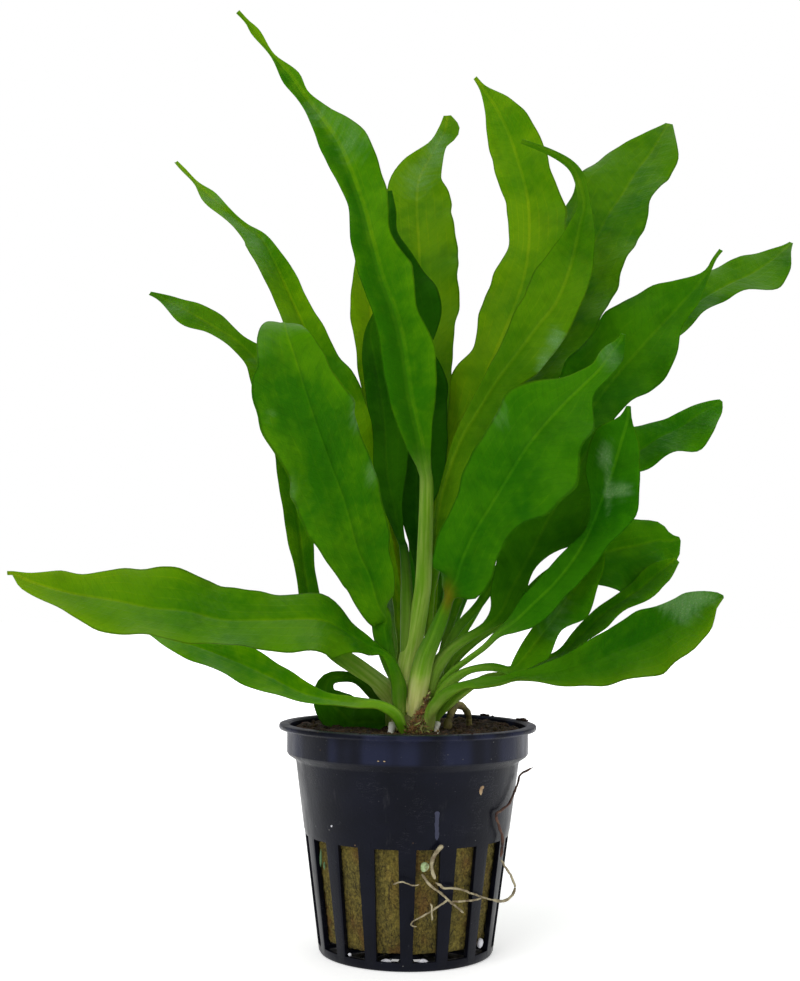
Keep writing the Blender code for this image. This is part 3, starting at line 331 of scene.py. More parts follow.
        (43, 20, 120.5, 4, 4), (50, 22.5, 128.5, 5, 4), (55.5, 24.5, 134.5, 6, 4.5),
        (61.5, 26.5, 139.5, 6.5, 4.5), (67.5, 28.5, 144.5, 6.5, 4), (72.5, 30.5, 148, 6.5, 4),
        (78.5, 32.5, 151.5, 6.5, 4.5), (83.5, 34, 154, 6, 8.5), (88.5, 35.5, 157.5, 4.5, 6),
        (92.5, 37, 161, 1.5, 2), (94.5, 38, 163, 0.5, 0.5)]),
    LeafShape("leaf_pointed_right", Tone.GREEN, 8, ((-0.35, -1, 0.2), (-0.4, -1, 0.3)), [
        (7.2, -1.4, 60.5, 0.9, 0.9), (10.5, -1, 67.5, 1, 1), (14.5, -1, 72, 1, 1),
        (18, -1, 77, 1, 1), (21.5, -1.5, 84.5, 1.5, 1.5), (26, -1.5, 93, 2, 2),
        (30.5, -2, 100.5, 3, 3.5), (35, -2, 108.5, 7, 5), (40, -2.5, 116.5, 10, 6),
        (45, -2.5, 123, 10.8, 8.5), (50.5, -4, 129.5, 11, 9), (56, -4.5, 135.5, 9, 4),
        (60, -5.5, 140, 5, 3), (63.5, -5.5, 144.5, 1, 1), (65, -7, 147.5, 0.5, 0.5),
        (66.5, -7, 149.5, 0.5, 0.5)]),
    LeafShape("leaf_front_right", Tone.GREEN, 8, ((-0.2, -1, 0.2), (-0.35, -1, 0.3)), [
        (3.2, -7.8, 54.5, 1.4, 1.4), (4.5, -8.8, 59.5, 1.4, 1.4), (6, -10.5, 64, 1.5, 1.5),
        (7.5, -13, 70, 1, 1.5), (8.3, -14.2, 73, 1.4, 1.5), (9, -15.3, 75.6, 2.8, 3.6),
        (9.8, -16.4, 78, 4.8, 6),
        (10.5, -17.5, 81, 6, 7.2), (13, -19.5, 87, 7, 7), (16.5, -21.5, 93, 8, 7.5),
        (20, -24, 99, 9, 12.5), (23, -25, 104, 9.5, 13.5), (26.5, -25.5, 108.5, 10, 10.5),
        (30.5, -25.5, 113, 7, 8.5), (34, -25.5, 116.5, 3.5, 3.5), (37.5, -26, 120, 2, 3),
        (40, -25, 123.5, 2, 3), (42, -24.5, 126, 1, 1), (42.5, -25, 127.5, 0.5, 0.5)]),
    LeafShape("leaf_curled_right", Tone.GREEN, 8, ((-0.2, -0.8, 0.5), (-0.5, -1, 0)), [
        (6.7, -6.9, 58.2, 1, 1), (8, -8.7, 60, 1, 1), (9.8, -10, 61.2, 1, 1),
        (12.5, -11.5, 63, 1, 1), (15.5, -12.5, 64.5, 1, 1), (18, -13, 67, 1.5, 1.5),
        (21.5, -15, 69.5, 1.5, 2), (25.5, -17, 73.5, 3, 3), (30, -18, 78, 3, 2.5),
        (34, -19.5, 83.5, 2.5, 3.5), (36.5, -21, 88.5, 1, 5.5), (38.5, -22.5, 94, 2.5, 8.5),
        (40.5, -24, 100, 6, 6), (42, -26, 106, 6, 4), (43, -27, 110, 2, 1),
        (43, -28, 112.5, 0.5, 0.5)]),
    LeafShape("leaf_inner_right", Tone.DARK, 8, ((-0.3, -1, 0.2), (-0.3, -1, 0.2)), [
        (7.2, -4.6, 59.5, 0.9, 0.9), (9, -6, 63, 1, 1), (12.5, -7, 66, 1, 1),
        (16.5, -7, 68.5, 1, 1), (19.5, -7.5, 71.5, 1.5, 2), (21.5, -7.5, 76, 2.5, 2.5),
        (25, -7.5, 82.5, 3.5, 4.5), (29, -8, 90.5, 4, 8), (33.5, -8.5, 98.5, 4, 7.5),
        (37.5, -9, 106, 3, 5), (39.5, -9, 110.5, 0.5, 0.5)]),
    LeafShape("leaf_round_right", Tone.GREEN, 6, ((-0.3, -0.9, 0.4), (-0.3, -0.9, 0.4)), [
        (7.4, 3, 57, 0.9, 0.9), (10.5, 4, 64, 1, 1), (14, 5, 70, 1, 1), (17.5, 6, 76, 1, 1),
        (22, 7.5, 83, 1, 1), (28, 9, 90.5, 2, 2), (35, 11, 97, 3, 3.5), (42, 13, 102.5, 4.5, 4.5),
        (48, 14.5, 106, 5.5, 5), (53, 16, 108.5, 6.5, 5.5), (57.5, 17, 111.5, 5, 6),
        (62.5, 19, 114, 3.5, 8), (67.5, 20.5, 117.5, 3, 5.5), (71, 21.5, 119.5, 2, 3),
        (73, 22, 121, 0.5, 0.5)]),
    LeafShape("leaf_middle_right", Tone.GREEN, 6, ((-0.3, -0.9, 0.4), (-0.3, -0.9, 0.3)), [
        (7.5, -3.4, 56, 0.9, 0.9), (10, -4, 61, 1, 1), (14, -4, 65, 1, 1), (19, -2.5, 68.5, 1, 1),
        (23.5, -2.5, 72.5, 1.5, 1.5), (29, -2.5, 77.5, 2, 2), (34.5, -2, 80.5, 3, 3.5),
        (40, -2, 83.5, 4.5, 6), (44.5, -1.5, 85, 6, 9), (49.5, -1.5, 86, 6.5, 8),
        (53.5, -1, 87, 5, 6), (56.5, -1, 87, 2, 3), (58.5, -1, 87.5, 0.5, 0.5)]),
    LeafShape("leaf_short_right", Tone.GREEN, 8, ((-0.1, -0.7, 0.6), (-0.3, -0.9, 0.4)), [
        (6.8, -5.8, 53.5, 1, 1), (9.5, -7.6, 57.6, 1, 1.2), (13, -9.5, 59.5, 1, 1.5),
        (17, -10, 60, 1, 1), (20, -10, 59.5, 1, 1), (21.5, -10.5, 59.5, 1, 1.5),
        (24, -11, 62, 2, 3), (26.5, -12, 65.5, 2, 5), (29.5, -13.5, 69.5, 2.5, 3),
        (32.5, -14.5, 74, 2, 6), (35.5, -16, 79, 1, 4.5), (37.5, -17, 83, 1.5, 3),
        (39, -18, 86.5, 0.5, 0.5)]),
    LeafShape("leaf_edge_right", Tone.DARK, 12, ((0, -0.5, 0.9), (0, -0.7, 0.7)), [
        (7.6, -3.2, 51.8, 0.8, 0.9), (11.5, -4.5, 55.6, 1, 1.3), (16, -5.4, 57.4, 1, 1.3),
        (21, -6, 58.3, 1, 1.3), (26.5, -6.5, 60.5, 1, 2.5), (32, -7, 63, 1, 3),
        (36, -7, 66.5, 2, 3.5), (40, -7.5, 70.5, 2, 5.5), (44, -8, 73.5, 2, 5),
        (48.5, -8.5, 76.5, 2.5, 6.5), (52.5, -8.5, 80, 2.5, 6), (56, -9, 83, 0.5, 1.5)]),
    LeafShape("leaf_bottom_right", Tone.GREEN, 8, ((0, -0.6, 0.8), (-0.1, -0.75, 0.65)), [
        (3.6, -8.4, 46.6, 1.4, 1.4), (4.6, -10, 50, 1.5, 1.8), (6.5, -12, 54, 1.5, 2.5),
        (10, -14, 56, 1.5, 2), (14.5, -15, 57, 1.5, 2), (18.5, -16, 57.5, 1, 1.5),
        (21.5, -17, 58.5, 1, 1.5), (25, -18.5, 59, 1.5, 2.5), (30.5, -20.5, 60, 3.5, 5),
        (34.5, -22.5, 61.5, 4.5, 7), (38.5, -24.5, 63, 6, 9), (45, -28, 66.1, 6.8, 11.5),
        (49, -30.5, 68.4, 6.2, 12), (53, -33.5, 70.9, 5.5, 10), (56, -35.5, 73.1, 3.8, 6.5),
        (58, -37, 74.5, 1.8, 3.2), (59, -38, 75, 0.5, 0.5)]),
    LeafShape("leaf_back_upright", Tone.GREEN, 8, ((0, -0.8, 0.5), (0, -1, 0.4)), [
        (1.2, 4.8, 56, 1, 1), (1, 9, 63, 1, 1), (1.5, 15, 76, 1.2, 1.2), (2, 21, 92, 2.5, 2.5),
        (2, 27, 108, 5.5, 5.5), (1, 32, 122, 7, 7), (0, 36, 134, 6, 6), (-1, 40, 144, 3, 3),
        (-2, 44, 150, 0.5, 0.5)]),
    LeafShape("leaf_back_left", Tone.GREEN, 8, ((0.3, -0.7, 0.6), (0.3, -0.8, 0.6)), [
        (-2.8, 3.8, 54, 1, 1), (-4.5, 9, 60, 1, 1), (-6.5, 17, 69, 1.2, 1.2),
        (-8.5, 25, 80, 3, 3), (-11, 33, 92, 6, 6), (-14, 40, 103, 7, 7), (-16, 46, 112, 4.5, 4.5),
        (-18, 52, 119, 0.5, 0.5)]),
    LeafShape("leaf_back_right", Tone.GREEN, 8, ((-0.2, -0.7, 0.6), (-0.2, -0.8, 0.6)), [
        (4.6, 3.8, 54, 1, 1), (7, 8, 60, 1, 1), (10.5, 16, 69, 1.2, 1.2), (14, 24, 80, 3, 3),
        (18.5, 32, 93, 6, 6), (23, 39, 104, 7, 7), (26, 45, 112, 4.5, 4.5),
        (28, 51, 118, 0.5, 0.5)]),
    LeafShape("leaf_back_low_left", Tone.DARK, 10, ((0.2, -0.4, 0.9), (0.2, -0.4, 0.9)), [
        (-1.8, 4, 47.6, 1, 1), (-2.2, 10, 56, 1, 1), (-3.2, 19, 66, 1.2, 1.2),
        (-4.4, 28, 74, 3, 3), (-5.6, 38, 80, 6, 6), (-7, 48, 83.5, 6.5, 6.5), (-8.5, 57, 84, 4, 4),
        (-10, 64.5, 82, 0.5, 0.5)]),
    LeafShape("leaf_back_low_right", Tone.GREEN, 10, ((-0.2, -0.4, 0.9), (-0.2, -0.4, 0.9)), [
        (3.2, 4, 47.6, 1, 1), (4.2, 10, 56, 1, 1), (6, 19, 66, 1.2, 1.2),
        (8, 28, 74.5, 3, 3), (10.5, 37, 80.5, 6, 6), (13, 46, 84, 6.5, 6.5), (15, 54, 84.5, 4, 4),
        (16.5, 61, 83, 0.5, 0.5)]),
]

# Roots: the radius of each one, then x, y and z of its points from tip to tip.
ROOTS = {
    "root_thick": (0.55, [(7.0, -21.7, 25.6), (5.7, -22.0, 24.4), (4.9, -21.9, 22.4),
                          (5.1, -21.6, 20.2), (5.6, -21.3, 18.9)]),
    "root_diagonal": (0.35, [(2.9, -21.5, 19.9), (4.0, -21.3, 18.6), (5.3, -20.9, 17.2),
                             (8.3, -19.7, 14.5), (11.4, -17.6, 11.6)]),
    "root_runner": (0.3, [(7.4, -20.6, 17.1), (10.4, -19.0, 16.6), (13.2, -16.8, 15.2),
                          (15.4, -14.8, 14.0), (17.4, -12.4, 13.1)]),
    "root_branch": (0.25, [(13.2, -16.6, 13.9), (11.2, -18.2, 14.1), (9.9, -19.0, 14.2)]),
    "root_side": (0.25, [(7.2, -20.0, 14.0), (5.2, -20.5, 12.8), (3.3, -20.8, 11.8),
                         (1.0, -20.8, 10.4), (0.9, -20.7, 9.7), (2.0, -20.6, 9.5)]),
    "root_fine": (0.2, [(-2.8, -21.6, 17.9), (-1.0, -21.8, 18.4), (1.1, -21.8, 17.7),
                        (2.4, -21.6, 17.9)]),
    "root_short": (0.2, [(4.9, -21.3, 13.4), (5.0, -21.0, 10.8)]),
    "root_loop": (0.3, [(18.3, -11.5, 12.7), (20.0, -9.5, 12.1), (21.7, -7.5, 12.7),
                        (22.4, -6.5, 14.2), (21.6, -7.0, 16.7), (20.0, -9.5, 19.6)]),
    "root_brown": (0.3, [(19.2, -11.5, 21.4), (19.6, -11.5, 24.7), (18.6, -13.6, 27.8),
                         (18.0, -14.6, 30.3), (19.4, -13.2, 31.0), (21.4, -10.4, 32.5),
                         (23.3, -7.0, 36.0), (24.0, -5.6, 37.3), (26.5, -4.6, 38.9)]),
    "old_stalk": (0.6, [(8.4, -3.0, 45.0), (8.8, -3.0, 48.4), (9.6, -2.4, 50.6),
                        (10.8, -1.2, 51.4), (12.2, 0.4, 50.6), (13.0, 2.0, 48.4),
                        (13.2, 3.0, 45.0)]),
    "root_stub_left": (0.55, [(-3.6, -7.4, 44.9), (-3.0, -6.8, 48.2)]),
    "root_stub_right": (0.45, [(6.4, -8.6, 44.9), (5.9, -8.3, 47.0), (6.3, -7.9, 48.6)]),
}

# The middle of the green bud.
BUD_PLACE = (3.4, -22.3, 21.4)

# The sheaths of the leaves seen at the front: how many stations of the leaf each one takes the
# place of, and its own stations from the crown up.
SHEATHS = {
    "leaf_tall_centre": (3, [
        (-0.4, -6.8, 50.4, 1.7, 1.7), (-0.7, -6.8, 53.7, 2.1, 2.1), (-0.3, -6.2, 57.8, 2.3, 2.3),
        (0.5, -5.4, 62.2, 2.3, 2.3), (1.6, -5.2, 67.9, 2, 2.1), (2.6, -5.8, 73.8, 1.8, 1.9),
        (3.1, -7, 79.1, 1.7, 1.8)]),
    "leaf_front_right": (6, [
        (1.3, -7.6, 49.6, 1.9, 1.2), (1.8, -8.6, 53.4, 2.5, 1.8), (2.4, -9.2, 57.2, 2.7, 2),
        (3.4, -9.8, 62, 2.4, 1.9), (5, -10.8, 66, 1.9, 1.7), (6.4, -12, 69.8, 1.5, 1.6),
        (7.4, -13.4, 72.5, 1.2, 1.3), (8.1, -14.7, 74.7, 1.2, 1.4), (8.6, -15.3, 76.1, 2.9, 3.4)]),
    "leaf_long_left": (3, [
        (-1.5, -7.6, 49.6, 1.3, 1.9), (-1.8, -8.6, 53, 1.5, 2.4), (-1.9, -9.3, 56.2, 1.6, 2.2),
        (-2.6, -10, 59.1, 1.6, 1.7), (-3.9, -10.6, 61.6, 1.4, 1.4), (-5.7, -11.2, 63.2, 1.1, 1.1)]),
    "leaf_low_left": (4, [
        (-0.4, -8.4, 45.4, 0.8, 0.8), (-1, -9.4, 47.7, 1.3, 1.3), (-2.1, -10, 50, 1.5, 1.5),
        (-4, -10.3, 51.5, 1.4, 1.4), (-6.7, -10.2, 52.4, 1.3, 1.3)]),
    "leaf_bottom_right": (4, [
        (3.8, -8, 46.2, 0.8, 0.8), (4, -9.2, 48.1, 1.4, 1.4), (4.3, -10.6, 50.7, 1.6, 1.6),
        (5.7, -12, 53.1, 1.7, 1.7), (8.1, -13.2, 55.3, 1.6, 1.6), (11.6, -14.4, 56.8, 1.1, 1.1)]),
    "leaf_arching_left": (3, [
        (-2.7, -4.2, 50.1, 0.9, 1.6), (-4, -3.6, 52.8, 1.3, 3.6), (-5.8, -2.6, 54.8, 1.4, 5.2),
        (-7.9, -1, 56.6, 1.1, 3.4)]),
    "leaf_front_left": (2, [
        (-1.3, -6.6, 52.4, 1.1, 1.1), (-2.1, -7.2, 56.2, 1.3, 1.3), (-3.7, -8, 60.4, 1.6, 1.6),
        (-4.7, -8.8, 64.4, 2, 2), (-5.4, -9.8, 68, 2.2, 2.2)]),
    "leaf_inner_right": (3, [
        (4.2, -6.2, 52.9, 1.1, 1.1), (4.6, -7, 55.4, 1.4, 1.4), (5.2, -7.4, 58.6, 1.6, 1.6),
        (6.6, -7.6, 61.3, 1.6, 1.6), (8.7, -7.6, 63.6, 1.4, 1.3), (11.4, -7.4, 65.5, 1.1, 1.1)]),
    "leaf_short_right": (3, [
        (4.8, -6.4, 50.4, 1.1, 1.1), (6, -7.8, 53.4, 1.3, 1.3), (7.7, -8.6, 56, 1.3, 1.3),
        (9.9, -9.2, 58.1, 1.2, 1.2), (13, -9.8, 59.6, 0.9, 0.9)]),
    "leaf_curled_right": (6, [
        (5.2, -6.2, 54.2, 0.9, 0.9), (6.9, -7.4, 56.6, 0.8, 0.8), (9.1, -8.6, 59.2, 0.75, 0.75),
        (12.4, -10.2, 61.8, 0.7, 0.7), (15.6, -11.5, 64.3, 0.7, 0.7), (18.2, -13, 67, 0.9, 0.9)]),
    "leaf_edge_right": (2, [
        (5.1, -4.4, 48.1, 0.9, 0.9), (7.2, -5.2, 50.9, 1.1, 1.1), (10.5, -5.4, 53.9, 1.3, 1.3)]),
    "leaf_inner_dark": (1, [
        (0.8, -3, 54.7, 1.3, 1.3), (0.6, -2, 59.3, 1.4, 1.4), (0.4, -1, 64.2, 1.3, 1.3)]),
    "leaf_inner_left": (4, [
        (-0.2, -4.4, 54.8, 1.2, 1.2), (-0.3, -4.9, 61.1, 1.4, 1.4), (-0.3, -4.9, 67.5, 1.4, 1.4),
        (-0.3, -4.6, 73.8, 1.4, 1.4), (-0.5, -3.6, 79.1, 1.2, 1.2), (-1.1, -2, 84.9, 1, 1)]),
}

# Crumbs of soil left on the pot's rim: x, y and size.
RIM_CRUMBS = (
    (17.4, 19.6, 0.55), (18.3, 19.0, 0.45), (19.4, 18.1, 0.25), (24.6, 9.2, 0.5), (25.4, 8.2, 0.6),
    (26.0, 6.8, 0.4), (-9.5, -24.6, 0.2), (12.6, -23.4, 0.18),
)

# Where a root is drawn out to meet its neighbour: points before its first and after its last one.
ROOT_ENDS = {
    "root_runner": ([(5.6, -21.3, 18.2), (6.4, -21.0, 17.7)], []),
    "root_branch": ([(15.0, -15.2, 14.1)], [(8.8, -19.6, 14.2)]),
    "root_side": ([(8.1, -19.7, 14.6)], []),
    "root_short": ([(4.6, -21.3, 14.2)], []),
    "root_loop": ([(17.4, -12.4, 13.1)], [(19.3, -11.2, 20.9)]),
}

# Dirt stuck to the pot, by piece: its material's name, its dull and its clean colour, its slot, and
# x, y and z of each flake with its sizes across it, along it and off it.
FLAKES = {
    "pale_flakes": ("pale flake", (0.42, 0.42, 0.46, 1.0), (0.66, 0.66, 0.70, 1.0), "root_pale", (
        (15.1, -10.6, 4.0, 0.9, 1.0, 0.6), (-4.0, -17.4, 1.9, 1.1, 0.5, 0.5),
        (3.3, -17.6, 2.0, 1.1, 0.5, 0.5), (-11.4, -14.0, 2.3, 0.6, 0.35, 0.3),
        (-15.3, -16.2, 28.2, 0.26, 0.22, 0.18))),
    "tan_flakes": ("tan flake", (0.26, 0.16, 0.08, 1.0), (0.48, 0.36, 0.20, 1.0), "root_pale", (
        (-5.9, -25.15, 42.3, 0.22, 0.1, 0.12), (-4.7, -25.4, 42.3, 0.25, 0.12, 0.12),
        (14.7, -18.0, 35.9, 0.45, 1.0, 0.25), (15.0, -17.8, 36.4, 0.55, 0.4, 0.25),
        (10.3, -20.6, 36.3, 0.2, 0.25, 0.15), (-13.7, -13.2, 12.0, 0.6, 0.7, 0.4),
        (-13.3, -13.6, 13.2, 0.3, 0.8, 0.3))),
    "green_flakes": ("green flake", (0.05, 0.11, 0.04, 1.0), (0.10, 0.20, 0.09, 1.0), "bud_green", (
        (-17.7, -10.4, 20.8, 0.4, 1.8, 0.25), (-16.9, -11.2, 19.4, 0.3, 0.8, 0.2))),
    "dull_flakes": ("dull film", (0.022, 0.025, 0.055, 1.0), (0.034, 0.038, 0.075, 1.0), "pot_plastic", tuple(
        (5.82, -21.96 + 0.137 * step, 31.7 - step, 0.5, 1.2, 0.07) for step in range(5))),
}

# Where a leaf runs on past its last station.
TAILS = {
    "leaf_drooping_left": [
        (-9.6, -2.2, 47.9, 4.7, 2.6), (-7, -3.4, 48, 4.2, 2.2), (-4.8, -4.2, 48.2, 2.4, 0.9)],
}

# The tints brighten some leaves and darken others by the light that fell on them: painted light and painted
# shade, along with each leaf's own colour.
TRAITS = {
    "leaf_tall_centre": LeafTraits(
        rib=0.9, rib_glow=0.6, underside=True, tint=(0.95, 0.80), halves=(-0.55, 0.05),
        patches=((-13, 172, 5, 7, 0.45), (-21, 178, 5, 4, 0.4)),
        pale=((46, 2.0), (51, 1.7), (57, 1.3), (64, 1.05), (82, 0.75), (96, 0.6), (108, 0.1), (120, 0))),
    "leaf_inner_dark": LeafTraits(rib=0.3, rib_glow=0.3, tint=(0.36, 0.55)),
    "leaf_inner_left": LeafTraits(
        rib=0.3, rib_glow=0.3, tint=(0.6, 0.7), pale=((46, 1.6), (56, 1.0), (66, 0.5), (78, 0.25), (86, 0))),
    "leaf_inner_back": LeafTraits(tint=(1.2, 1.08)),
    "leaf_top_back": LeafTraits(tint=(0.8, 0.8), patches=((6.4, 187, 4, 6, 0.6), (1.0, 178, 5, 6, 0.45))),
    "leaf_tall_left": LeafTraits(
        tint=(1.9, 1.12), halves=(0.1, -0.1), patches=((-46, 166.5, 8, 4, 0.5), (-36, 155.5, 5, 6, 0.4))),
    "leaf_front_left": LeafTraits(
        rib=0.25, rib_glow=0.3, underside=True, ruffle=0.07, tint=(1.03, 0.87), aging_and_shade=(-0.15, 0.1),
        pale=((46, 1.2), (53, 0.6), (58, 0.15), (66, 0.0), (72, 0)),
        patches=((-11.2, 111.5, 1.6, 4.4, 0.6), (-8.2, 99.4, 1.8, 3.2, 0.55), (-27.4, 109, 1.6, 2.0, 0.4),
                 (-23.1, 94.6, 1.3, 4.2, 0.5)),
        fuller=((98, 0, 0), (108, 1.4, 0), (116, 1.7, 0.4), (123, 1.6, 0), (128, 0, 0))),
    "leaf_arching_left": LeafTraits(
        tint=(1.1, 0.78), pale=((50, 1.4), (54, 1.25), (57, 1.0), (62, 0.5), (70, 0)),
        patches=((-35, 127.5, 3.5, 2.5, 0.35), (-55, 140, 6, 3, 0.45))),
    "leaf_long_left": LeafTraits(
        ruffle=0.08, tint=(1.36, 0.94), aging_and_shade=(-0.1, 1.0),
        pale=((46, 1.6), (50, 0.9), (53, 0.3), (58, 0.1), (63, 0))),
    "leaf_low_left": LeafTraits(
        tint=(3.8, 2.08), pale=((45, 1.2), (48, 0.4), (51, 0.5), (53, 0.2), (56, 0))),
    "leaf_drooping_left": LeafTraits(pale=((46, 0.6), (52, 0.3), (56, 0))),
    "leaf_tall_right": LeafTraits(
        tint=(0.95, 0.92), fuller=((98, 0, 0), (105, 1.2, 0), (113, 1.1, 0), (120, 0.3, 0), (126, 0, 0))),
    "leaf_bright_right": LeafTraits(
        underside=True, tint=(0.48, 0.62), aging_and_shade=(0.4, 0.0),
        patches=((30.5, 128.5, 2.2, 3.5, 0.7), (27.6, 123.5, 1.8, 3.2, 0.6)),
        fuller=((76, 0, 0), (84, 0, 1.2), (95, 0, 2.4), (104, 0, 0.8), (110, 0, 0))),
    "leaf_upper_right": LeafTraits(tint=(1.15, 0.80), patches=((27.5, 126, 4, 5, 0.5),)),
    "leaf_far_right": LeafTraits(tint=(1.05, 0.80)),
    "leaf_pointed_right": LeafTraits(tint=(0.68, 0.68), patches=((34.5, 117, 2.4, 3.0, 0.45),)),
    "leaf_front_right": LeafTraits(
        rib=0.35, rib_glow=0.6, underside=True, tint=(0.52, 0.63), halves=(0.05, -0.1),
        pale=((48, 2.0), (53, 1.8), (57, 1.35), (60, 0.7), (64, 0.3), (70, 0.1), (76, 0)),
        fuller=((104, 0, 0), (111, 0.5, 0), (116, 0.6, 0), (120, 0, 0)),
        patches=((17.8, 111, 2.6, 4.6, 0.38), (7.9, 74.5, 1.3, 3.0, -0.55), (39.5, 123.5, 3, 4.5, 0.5))),
    "leaf_curled_right": LeafTraits(
        rib=0.35, rib_glow=0.9, tint=(0.40, 0.58),
        patches=((39.0, 103.4, 1.9, 3.2, 0.7), (42.0, 96.2, 2.3, 2.4, 0.65), (39.5, 95.5, 0.8, 5.0, 0.55)),
        fuller=((68, 0, 0), (71, 0, 1.2), (75, 0, 1.6), (79, 0, 1.6), (84, 0, 0.8), (88, 0, 0))),
    "leaf_inner_right": LeafTraits(
        pale=((46, 1.0), (55, 0.8), (62, 0.55), (66, 0.3), (70, 0)),
        fuller=((68, 0, 0), (74, 1.8, 0.6), (77.8, 2.4, 0.3), (79.7, 2.7, -1.0), (81.6, 3.0, -1.8),
                (83.5, 2.9, -2.0), (85.5, 2.8, -1.9), (87.4, 2.7, -0.9), (89.4, 2.6, 0.8), (92, 2.5, 1.4),
                (95.1, 1.8, 1.3), (98.8, 1.1, 0), (106, 0, 0))),
    "leaf_middle_right": LeafTraits(
        tint=(0.95, 0.88),
        fuller=((79, 0, 0), (82, 0, 1.9), (83.5, 0, 3.4), (85.5, 0, 3.6), (87, 0, 2.8), (87.4, 0, 0))),
    "leaf_short_right": LeafTraits(
        tint=(1.0, 0.85), pale=((48, 1.0), (55, 0.7), (59, 0.3), (62, 0)), patches=((30, 71, 5, 9, 0.42),),
        fuller=((62, 0, 0), (72, 1.5, 0), (80, 2.2, 0), (86, 0, 0))),
    "leaf_edge_right": LeafTraits(
        tint=(2.4, 1.7), fuller=((62, 0, 0), (68, 0, -0.8), (74, 0, -2.2), (79, 0, -2.6), (83, 0, 0))),
    "leaf_bottom_right": LeafTraits(
        rib=0.35, rib_glow=-0.35, ruffle=0.025, tint=(0.72, 0.68), aging_and_shade=(0.1, 0.35), halves=(-0.15, 0.25),
        fuller=((61, 0, 0), (63, 0, -0.5), (65.4, 0, -1.1), (67.8, 0, -1.0), (68.9, 0, -0.4), (70.9, 0, -0.2),
                (72.1, 0, -0.6), (73.4, 0, 0.7), (75, 0, 0)),
        pale=((46, 1.8), (49, 1.2), (53, 0.5), (56, 0.25), (59, 0)),
        patches=((55.0, 75.0, 4.2, 2.0, 0.7), (52.5, 71.8, 3.0, 2.6, 0.6), (49.0, 73.6, 2.6, 1.3, 0.45))),
}


